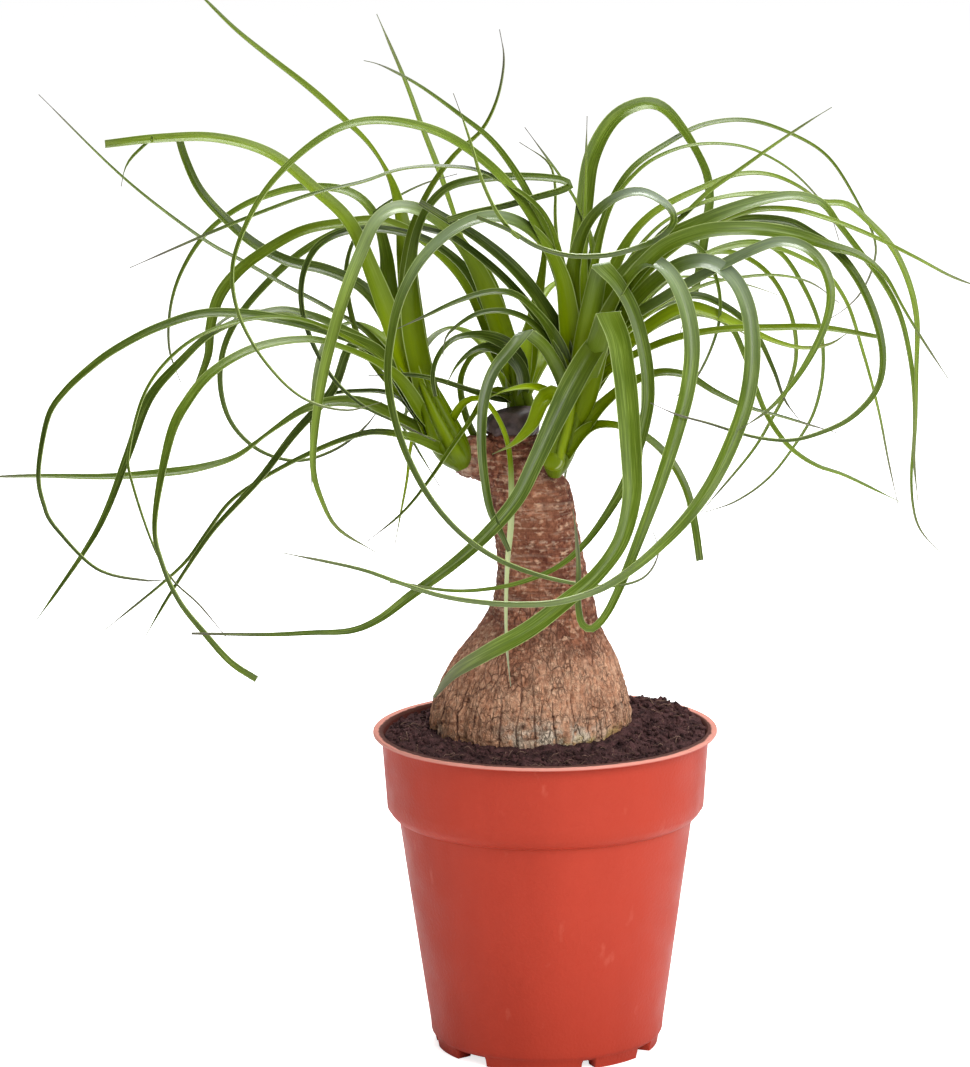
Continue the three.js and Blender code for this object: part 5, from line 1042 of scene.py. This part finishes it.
def bendClear(blades):
    # leaves of different shoots that would cross are parted along the sight line, a share of the lack each
    # round;
    # every push fades out over a stretch of the leaf, and the root stays where it grows
    shoots = {"left": 0, "right": 1, "back": 2, "none": 3}
    x, z, y = np.concatenate([leaf["line"] for leaf in blades]).T
    width = np.concatenate([leaf["widths"] for leaf in blades])
    sizes = [len(leaf["line"]) for leaf in blades]
    leafOf, order = np.repeat(np.arange(len(blades)), sizes), np.arange(len(x))
    shoot = np.repeat([shoots[leaf["shoot"]] for leaf in blades], sizes)
    fromRoot = np.concatenate([np.linspace(0, leaf["total"], len(leaf["line"])) for leaf in blades])
    loose = np.minimum(1, fromRoot / blade["rooted"])
    balls = [(cx, h, caudex["depth"], r, 3) for h, cx, r in caudex["outline"][3:]]
    balls += [(*row, 3) for row in stubBalls]
    balls += [(*row, shoots[key]) for key, column in sheaths.items() for row in column]
    balls = np.array(balls, float)
    flat = (x[:, None] - balls[:, 0]) ** 2 + (z[:, None] - balls[:, 1]) ** 2
    need = balls[:, 3] + width[:, None] / 2 + blade["margin"]
    ballPoint, ballOf = np.nonzero((flat < need ** 2) & (shoot[:, None] != balls[:, 4]))
    ballChord = np.sqrt(need[ballPoint, ballOf] ** 2 - flat[ballPoint, ballOf])
    pairs = []
    for b, leaf in enumerate(blades):
        mine, later = order[leafOf == b], order[(leafOf > b) & (shoot != shoots[leaf["shoot"]])]
        flat = (x[mine][:, None] - x[later]) ** 2 + (z[mine][:, None] - z[later]) ** 2
        need = (width[mine][:, None] + width[later]) / 2 + blade["margin"]
        i, j = np.nonzero(flat < need ** 2)
        pairs.append((mine[i], later[j], np.sqrt(need[i, j] ** 2 - flat[i, j])))
    first, second, chord = (np.concatenate(column) for column in zip(*pairs))
    kernel = int(blade["reach"] / blade["sample"] + 0.5)
    for _ in range(blade["rounds"]):
        pushes = np.zeros((2, len(x)))  # back and front
        apart = y[ballPoint] - balls[ballOf, 2]
        push = np.maximum(0, ballChord - np.abs(apart)) * np.where(apart == 0, -1, np.sign(apart))
        moved = [(ballPoint, push)]
        apart = y[first] - y[second]
        push = np.maximum(0, chord - np.abs(apart)) * blade["share"] * np.where(apart == 0, 1, np.sign(apart))
        for where, amount in moved + [(first, push), (second, -push)]:
            np.maximum.at(pushes[0], where, amount)
            np.minimum.at(pushes[1], where, amount)
        high, low = np.zeros(len(x)), np.zeros(len(x))
        for shift in range(-kernel, kernel + 1):
            fade = math.cos(math.pi / 2 * shift / (kernel + 1)) ** 2
            source = np.clip(order + shift, 0, len(x) - 1)
            same = (leafOf[source] == leafOf) & (source == order + shift)
            high = np.maximum(high, np.where(same, pushes[0][source] * fade, 0))
            low = np.minimum(low, np.where(same, pushes[1][source] * fade, 0))
        moves = (high + low) * loose
        y = y + moves
        if np.abs(moves).max() < 0.02:
            break
    for leaf, depth in zip(blades, np.split(y, np.cumsum(sizes)[:-1])):
        leaf["line"][:, 2] = depth


def leafWidths(leaf, fine, seen):
    # the real width: a strap that narrows to its tip, never less than the width seen
    main = leaf["seen"].max()
    full = main if leaf["name"] == "driedStrip" else max(1.1 * main, min(blade["fullest"], 1.6 * main))
    ending = min(1, 1.05 * leaf["seen"][-1] / full)
    width = np.maximum(full * (1 - (1 - ending) * fine ** 2.4), 1.05 * seen)
    return np.maximum(1.02 * seen, np.convolve(np.pad(width, 3, mode="edge"), np.ones(7) / 7, mode="valid"))


def claspOf(shoot, track):
    # how far a leaf is part of its shoot's fan, and how bright its base is: both fade with height and off
    # the axis
    x0, z0, x1, z1 = shootAxis[shoot]
    alongX, alongZ = unit(np.array([x1 - x0, z1 - z0]))
    height = (track[:, 0] - x0) * alongX + (track[:, 1] - z0) * alongZ
    off = (track[:, 0] - x0) * alongZ - (track[:, 1] - z0) * alongX
    base = np.minimum(1, 1.4 * bell(np.maximum(0, height), 72) * bell(off, 34))
    return softStep(blade["fanTo"], blade["fanFrom"], height) * bell(off, 10), base


def sightTo(points):
    return unit(points - [0, -eyePoint["distance"], eyePoint["height"]])


def plainTrack(leaf):
    # even steps along the bent line, with the frame turned so that the real width looks as narrow as it is
    # seen
    fine = np.linspace(0, 1, max(8, int(leaf["total"] / blade["fine"])))
    track = smoothCurve(np.linspace(0, 1, len(leaf["line"])), leaf["line"], fine)
    centre = onSight(*track.T)
    seen = spreadOut(leaf["seen"], fine)
    along = unit(np.gradient(centre, axis=0))
    if leaf["side"] is None:
        width = leafWidths(leaf, fine, seen)
        stepX, stepZ = np.gradient(track[:, :2], axis=0).T
        bend = (stepX[:-1] * stepZ[1:] - stepZ[:-1] * stepX[1:])[: int(len(fine) * 0.6)].sum()
        turn = np.arccos(np.clip(seen / width, 0.15, 0.97)) * (1 if bend > 0 else -1)
        across = np.cross(along, sightTo(centre))
    else:
        width, turn = seen, 0 * seen
        across = np.column_stack([spreadOut(row, fine) for row in leaf["side"].T])
    return dict(track=track, centre=centre, along=along, across=across, width=width, turn=turn, fine=fine,
                seen=seen)


def foldedTrack(leaf, fold):
    # up, round a small half circle towards the front, and down; the across direction never turns over
    up, upLength = evenLine(fold["rise"], blade["fine"])
    down, downLength = evenLine(fold["fall"], blade["fine"])
    total = upLength + downLength
    upAt = np.linspace(0, upLength, len(up)) / total
    downAt = (upLength + np.linspace(0, downLength, len(down))) / total
    depths, radius = leaf["line"][:, 2], fold["radius"]
    upTrack = np.column_stack([up, spreadOut(depths, upAt) + radius * upAt / upAt[-1]])
    near = radius * bell((downAt - downAt[0]) * total, 12)
    downTrack = np.column_stack([down, spreadOut(depths, downAt) - near])
    phase = np.linspace(0, math.pi, 7)[1:-1]
    middle = 0.5 * (upTrack[-1] + downTrack[0])
    arc = middle + radius * np.column_stack([np.sin(phase)[:, None] * unit(up[-1] - up[-2]), np.cos(phase)])
    track = np.concatenate([upTrack, arc, downTrack])
    centre = onSight(*track.T)
    u, d = len(up), len(up) + len(arc)
    slopes = [np.gradient(part, axis=0) for part in (centre[:u], centre[u - 1:d + 1], centre[d:])]
    along = unit(np.concatenate([slopes[0], slopes[1][1:-1], slopes[2]]))
    across = np.cross(along, sightTo(centre))
    across[d:] *= -1
    across[u:d] = across[u - 1]
    across = unit(across)
    crease = np.array([math.cos(fold["slope"] * degrees), 0, math.sin(fold["slope"] * degrees)])
    crease = crease * np.sign(np.dot(crease, across[u - 1]))
    fromFold = np.concatenate([(upAt[-1] - upAt) * total, 0 * phase, (downAt - downAt[0]) * total])
    share = bell(fromFold, 3.2)[:, None]
    lean = np.sum(crease * across, 1, keepdims=True)
    across = across * (1 - share) + crease / np.maximum(0.5, lean) * share
    width = np.concatenate([spreadOut(fold["riseWidths"], upAt / upAt[-1]),
                            0 * phase + fold["riseWidths"][-1],
                            spreadOut(fold["fallWidths"], (downAt - downAt[0]) / (1 - downAt[0]))])
    fine = np.concatenate([upAt, 0 * phase + upAt[-1], downAt])
    return dict(track=track, centre=centre, along=along, across=across, width=width, turn=0 * width,
                fine=fine, flat=share[:, 0], total=total)


def bladeShell(leaf, number):
    # a channelled ribbon that opens to the outside of its arch, as a leaf's upper side does: a row's points
    # lie u half widths across, over the upper side and then back below it, and sag towards the middle rib
    name, rear, fold = leaf["name"], leaf["side"] is not None, folds.get(leaf["name"])
    way = foldedTrack(leaf, fold) if fold else plainTrack(leaf)
    keys = ("centre", "along", "across", "width", "turn", "fine")
    centre, along, across, width, turn, fine = (way[key] for key in keys)
    total, ending = way.get("total", leaf["total"]), leaf["seen"][-1]
    distance = fine * total
    fromTip = total - distance
    if ending < 1.3 and not fold:
        width = width * (0.25 + 0.75 * softStep(0, blade["tipLength"], fromTip))
        width = width * (0.7 + 0.3 * softStep(0, 0.5 * total, fromTip))
    width = np.maximum(width, blade["thinnest"])
    main = 0.3 if leaf["seen"].max() < 2.8 or name in shaded else 1.0
    clasp, base = claspOf(leaf["shoot"], way["track"])
    clasp = clasp * softStep(*blade["claspTo"], distance) * softStep(*blade["claspFrom"], distance)
    clasp = clasp * (name not in threads)
    brightTo = blade["foldBrightTo"] if fold else blade["brightTo"]
    base = base * shaded.get(name, 1) * softStep(brightTo, blade["brightFrom"], distance)
    # painted light: a bright yellow-green glow far along the leaves that light shines through from behind
    base = np.maximum(base, paintedBacklight.get(name, 0) * bell(distance, blade["backlightReach"]))
    if rear:
        clasp, base = bell(distance, blade["rearClasp"]), bell(distance, blade["rearBright"])
    clasped = clasp * main
    width = width + clasped * np.maximum(0, blade["baseWidth"] - width)
    if not fold:
        across = across - along * np.sum(across * along, 1, keepdims=True)
        good = np.linalg.norm(across, axis=1) > 0.2
        across = np.column_stack([np.interp(fine, fine[good], row[good]) for row in across.T])
        across = unit(across - along * np.sum(across * along, 1, keepdims=True))
        turn = (turn * (1 - 0.85 * clasp))[:, None]
        across = across * np.cos(turn) + np.cross(along, across) * np.sin(turn)
    out = unit(np.cross(across, along))
    seen = width if fold else way["seen"]
    deepest = 0.42 * seen + 1.2 * clasped  # a deeper channel would widen a turned leaf
    keel = (np.minimum(blade["keel"] * width, deepest) + 0.1 + 0.6 * clasped) * (1 - way.get("flat", 0))
    thick = np.minimum(blade["thick"], 0.3 * width) * (1 + 0.8 * clasp)
    u = np.array([-1, -0.8, -0.5, -0.2, 0, 0.2, 0.5, 0.8, 1, 0.94, 0.5, 0, -0.5, -0.94])
    under = np.repeat([0.0, 1.0], [9, 5])
    soft = blade["ribRound"]
    sag = (math.sqrt(1 + soft) - np.sqrt(u ** 2 + soft)) / (math.sqrt(1 + soft) - math.sqrt(soft))
    facing = 1 if rear or fold else -1
    aside = u * width[:, None] / 2
    lift = facing * (keel[:, None] * (1 / 3 - sag) - thick[:, None] * under)
    rings = centre[:, None] + across[:, None] * aside[..., None] + out[:, None] * lift[..., None]
    tone = tones.get(name, 0.15 + 0.7 * hashed(number, 3, 5, 1))
    tipShare = 0.9 if ending < 0.75 else 0.6 if ending < 1.1 else 0.15
    dryReach = min(0.22 * total, (24 if ending < 1.1 else 5) + 44 * hashed(number, 7, 2, 3) * tipShare)
    wan = softStep(0.34, 0.5, fine) * (name == "driedStrip")
    level = softStep(0.2, 0.8, np.abs(out[:, 2])) * (1 - base)  # the waxy shine sits where a leaf lies level
    shine = 0.25 + (gloss.get(name, 0.35) - 0.25) * level
    # painted highlight: a pale grey-blue tint where a glossy leaf lies level near its arch top, standing in
    # for the top light's sheen
    archHighlight = 0.45 * max(0, gloss.get(name, 0) - 0.3) * level ** 2 * softStep(0.6, 0.45, fine)
    rows = dict(dry=softStep(dryReach, 1, fromTip) * tipShare, wan=wan, base=base, gloss=shine, archHighlight=archHighlight,
                alongLeaf=distance)
    shell = closedLoft(rings[:, ::facing], tone=tone, rim=np.abs(u)[::facing], underside=under[::facing],
                       acrossLeaf=aside[:, ::facing] + 40 * number,
                       **{key: row[:, None] for key, row in rows.items()})
    for key, end in (("rim", 0), ("underside", 0), ("acrossLeaf", 40 * number)):
        shell[3][key][-2:] = end
    return shell


def sheathShell(shoot, number):
    # a round foot below, and above it a bundle of leaf bases, grooved where the count of plates is whole
    rows, sides, count = sheath["rows"], sheath["sides"], sheath["plates"]
    def plates(along, angle):
        return angle / (2 * math.pi) * count + 0.5 * along + 0.12 * np.sin(angle * 2 + 5 * along + number)
    def relief(along, angle, points):
        ridge = np.sqrt(np.abs(np.sin(math.pi * plates(along, angle))))
        return sheath["relief"] * (ridge - 0.8) * softStep(0.1, 0.32, along) * softStep(1, 0.85, along)
    column = np.array(sheaths[shoot], float)
    column[:, 3] *= np.interp(np.linspace(0, 1, len(column)), sheath["slimAt"], sheath["slim"])
    along, angle = np.linspace(0, 1, rows)[:, None], circle(sides)
    plate = plates(along, angle)
    part = np.mod(plate, 1)
    inside = np.sqrt(np.abs(np.sin(math.pi * plate)))
    raised = softStep(0.1, 0.32, along)
    own = hashed(np.mod(np.floor(plate), count), number, 1, 7)
    # painted shade: each plate darkens towards the grooves where it meets the next; the foot is a darker
    # olive
    tone = (0.12 + 0.2 * own) * (1 - raised) + raised * (0.75 * own * inside ** 3)
    rim = np.where((part > 0.93) & (part < 0.98), 0.96 * raised, 0.3)
    return closedLoft(tubeRings(column, rows, sides, relief), tone=tone, base=0.55 + 0.4 * raised, rim=rim,
                      acrossLeaf=angle * 6 + 40 * number, alongLeaf=along * 50, **plainLook)


def budShell():
    # a flattened round bud with a split skin, low on the front of the right shoot: circles whose radius is
    # the sine and whose depth is the cosine of a half turn, lifted a little along the tear
    phase, angle = np.linspace(0.02, math.pi - 0.02, bud["rows"])[:, None], circle(bud["sides"])
    flat = np.sin(phase) * bud["radius"]
    rings = np.stack([flat * np.cos(angle), -bud["bulge"] * np.cos(phase) + 0 * angle,
                      0.96 * flat * np.sin(angle)], -1)
    fromMiddle = np.hypot(rings[..., 0] + 0.3, rings[..., 2] - 0.2) / bud["radius"]
    tear = bell(fromMiddle - 0.78, 0.07) * softStep(-0.2, 0.5, np.cos(angle - 0.15)) * (rings[..., 1] < 0)
    rings[..., 1] += 0.35 * tear
    rings, tear = rings[:, ::-1], tear[:, ::-1]
    look = {**plainLook, "wan": np.clip(tear * 0.9, 0, 1)}
    middle = onSight(bud["x"], bud["z"], bud["depth"])
    return closedLoft(middle + rings, tone=0.3, base=0.95, rim=0.3, acrossLeaf=rings[..., 0] + 3,
                      alongLeaf=rings[..., 2], **look)


def leafMaterial():
    material, shader = newMaterial("leaf", 0.6)
    look = {key: linear(colour) for key, colour in leafLook.items()}
    tone, base, rim = pointValue("tone"), pointValue("base"), pointValue("rim")
    lengthwise = add("CombineXYZ", "Vector", {"X": pointValue("acrossLeaf"),
                                              "Y": times(pointValue("alongLeaf"), 0.02)})
    veins = ramp(add("TexNoise", "Fac", {"Vector": lengthwise, "Scale": 2.6, "Detail": 3.0}), 0.32, 0.68)
    green = tint(ramp(tone, 0.0, 0.6), look["dark"], look["mid"])
    green = tint(ramp(tone, 0.5, 1.0, 0.0, 0.6), green, look["light"])
    green = tint(ramp(veins, 0.5, 1.0, 0.0, 0.35), green, look["light"])
    green = tint(ramp(veins, 0.5, 0.0, 0.0, 0.4), green, look["dark"])
    green = tint(times(pointValue("underside"), 0.3), green, look["under"])
    green = tint(times(noiseMask(60.0, 0.3, 0.75), 0.3), green, look["dark"])
    yellow = tint(ramp(tone, 0.0, 0.8, 0.1, 0.8), look["baseDeep"], look["base"])
    yellow = tint(times(veins, 0.3), yellow, look["baseDeep"])
    colour = tint(base, green, yellow)
    # painted highlight on the arch tops
    colour = tint(pointValue("archHighlight"), colour, look["archHighlight"])
    # painted shade: darker towards both edges, inside the pale margin, as the channel's sloping sides would
    # be shaded
    colour = tint(ramp(rim, 0.45, 0.9, 0.0, 0.3), colour, look["dark"])
    colour = tint(ramp(rim, 0.9, 1.0, 0.0, 0.6), colour, look["rim"])
    colour = tint(times(pointValue("wan"), 0.75), colour, look["wan"])
    colour = tint(times(pointValue("dry"), 0.85), colour, look["dry"])
    shine = times(pointValue("gloss"), ramp(base, 0.2, 1.0, 0.85, 0.3))
    fill(shader, {"Base Color": colour, "Roughness": ramp(veins, 0.0, 1.0, 0.32, 0.42),
                  "Specular IOR Level": shine,
                  "Subsurface Weight": 0.08, "Subsurface Radius": (0.0006, 0.0012, 0.0002)})
    return material


blades = []
for shoot in ("left", "right", "back"):
    blades += [drawnBlade(shoot, *entry) for entry in drawnLeaves[shoot]]
    blades += [rearBlade(shoot, *entry) for entry in rearBlades[shoot]]
bendClear(blades)
for name, (shoot, seen, depths, route) in threads.items():
    flat, total = evenLine(route, 2)
    seen, depth = (spreadOut(row, np.linspace(0, 1, len(flat))) for row in (seen, depths))
    blades.append(newBlade(name, shoot, flat, depth, total, seen, seen))
leaf = leafMaterial()
for number, shoot in enumerate(("left", "right", "back")):
    shells = [bladeShell(entry, b) for b, entry in enumerate(blades) if entry["shoot"] == shoot]
    shells.append(sheathShell(shoot, number))
    if shoot == "right":
        shells.append(budShell())
    dress(makeMesh(shoot + "Shoot", joinShells(shells), sharp=58), leaf, "shoot_" + shoot)
    print(shoot, "shoot made:", len(shells), "shells")

studio = {
    "floor": (0.86, 0.86, 0.86), "floorFaint": (0.8514, 0.8514, 0.8514), "floorSize": 60.0, "glow": 0.74,
    "ambient": 0.3, "mirrored": 0.08, "aim": (0, 0, 0.2),
}
lights = {  # power, size and place
    "keyLight": (78.0, 2.0, (1.35, -1.9, 1.75)),
    "fillLight": (5.5, 2.0, (-2.2, -1.6, 0.9)),
    "topLight": (62.0, 1.3, (0.1, 0.8, 2.2)),
}


def addFloor():
    # the floor looks lit from beneath, and lights nothing itself
    half = studio["floorSize"] / 2 / mm
    points = np.array([[-half, -half, 0], [half, -half, 0], [half, half, 0], [-half, half, 0]])
    floor = makeMesh("floor", (points, np.array([[0, 1, 2, 3]]), np.zeros((0, 3), int), {}))
    material, shader = newMaterial("floor", 0.2)
    glow = times(add("LightPath", "Is Camera Ray"), studio["glow"])
    fill(shader, {"Base Color": tint(noiseMask(3.0, 0.3, 0.7), studio["floor"], studio["floorFaint"]),
                  "Roughness": 0.8,
                  "Emission Color": (1, 1, 1), "Emission Strength": glow})
    floor.data.materials.append(material)


def addLight(name, power, size, location):
    lamp = bpy.data.lights.new(name, "AREA")
    lamp.energy, lamp.size = power, size
    away = unit(np.array(location) - studio["aim"])
    side = unit(np.cross([0, 0, 1.0], away))
    place(name, lamp, (side, np.cross(away, side), away), location)


def lightWorld():
    # bright behind the floor's edge, dim as light, and nearly dark in reflections
    world = bpy.data.worlds.new("studio")
    world.use_nodes = True
    building["tree"] = world.node_tree
    bright = ramp(add("LightPath", "Is Camera Ray"), 0, 1, studio["ambient"], 1.0)
    dimmed = ramp(add("LightPath", "Is Glossy Ray"), 0, 1, 0.0, studio["ambient"] - studio["mirrored"])
    sky = world.node_tree.nodes["Background"].inputs
    fill(sky, {"Color": (1, 1, 1), "Strength": combine("SUBTRACT", bright, dimmed)})
    bpy.context.scene.world = world


addFloor()
for name, (power, size, location) in lights.items():
    addLight(name, power, size, location)
lightWorld()
bpy.context.scene.view_settings.view_transform = "Standard"
print("studio lit")
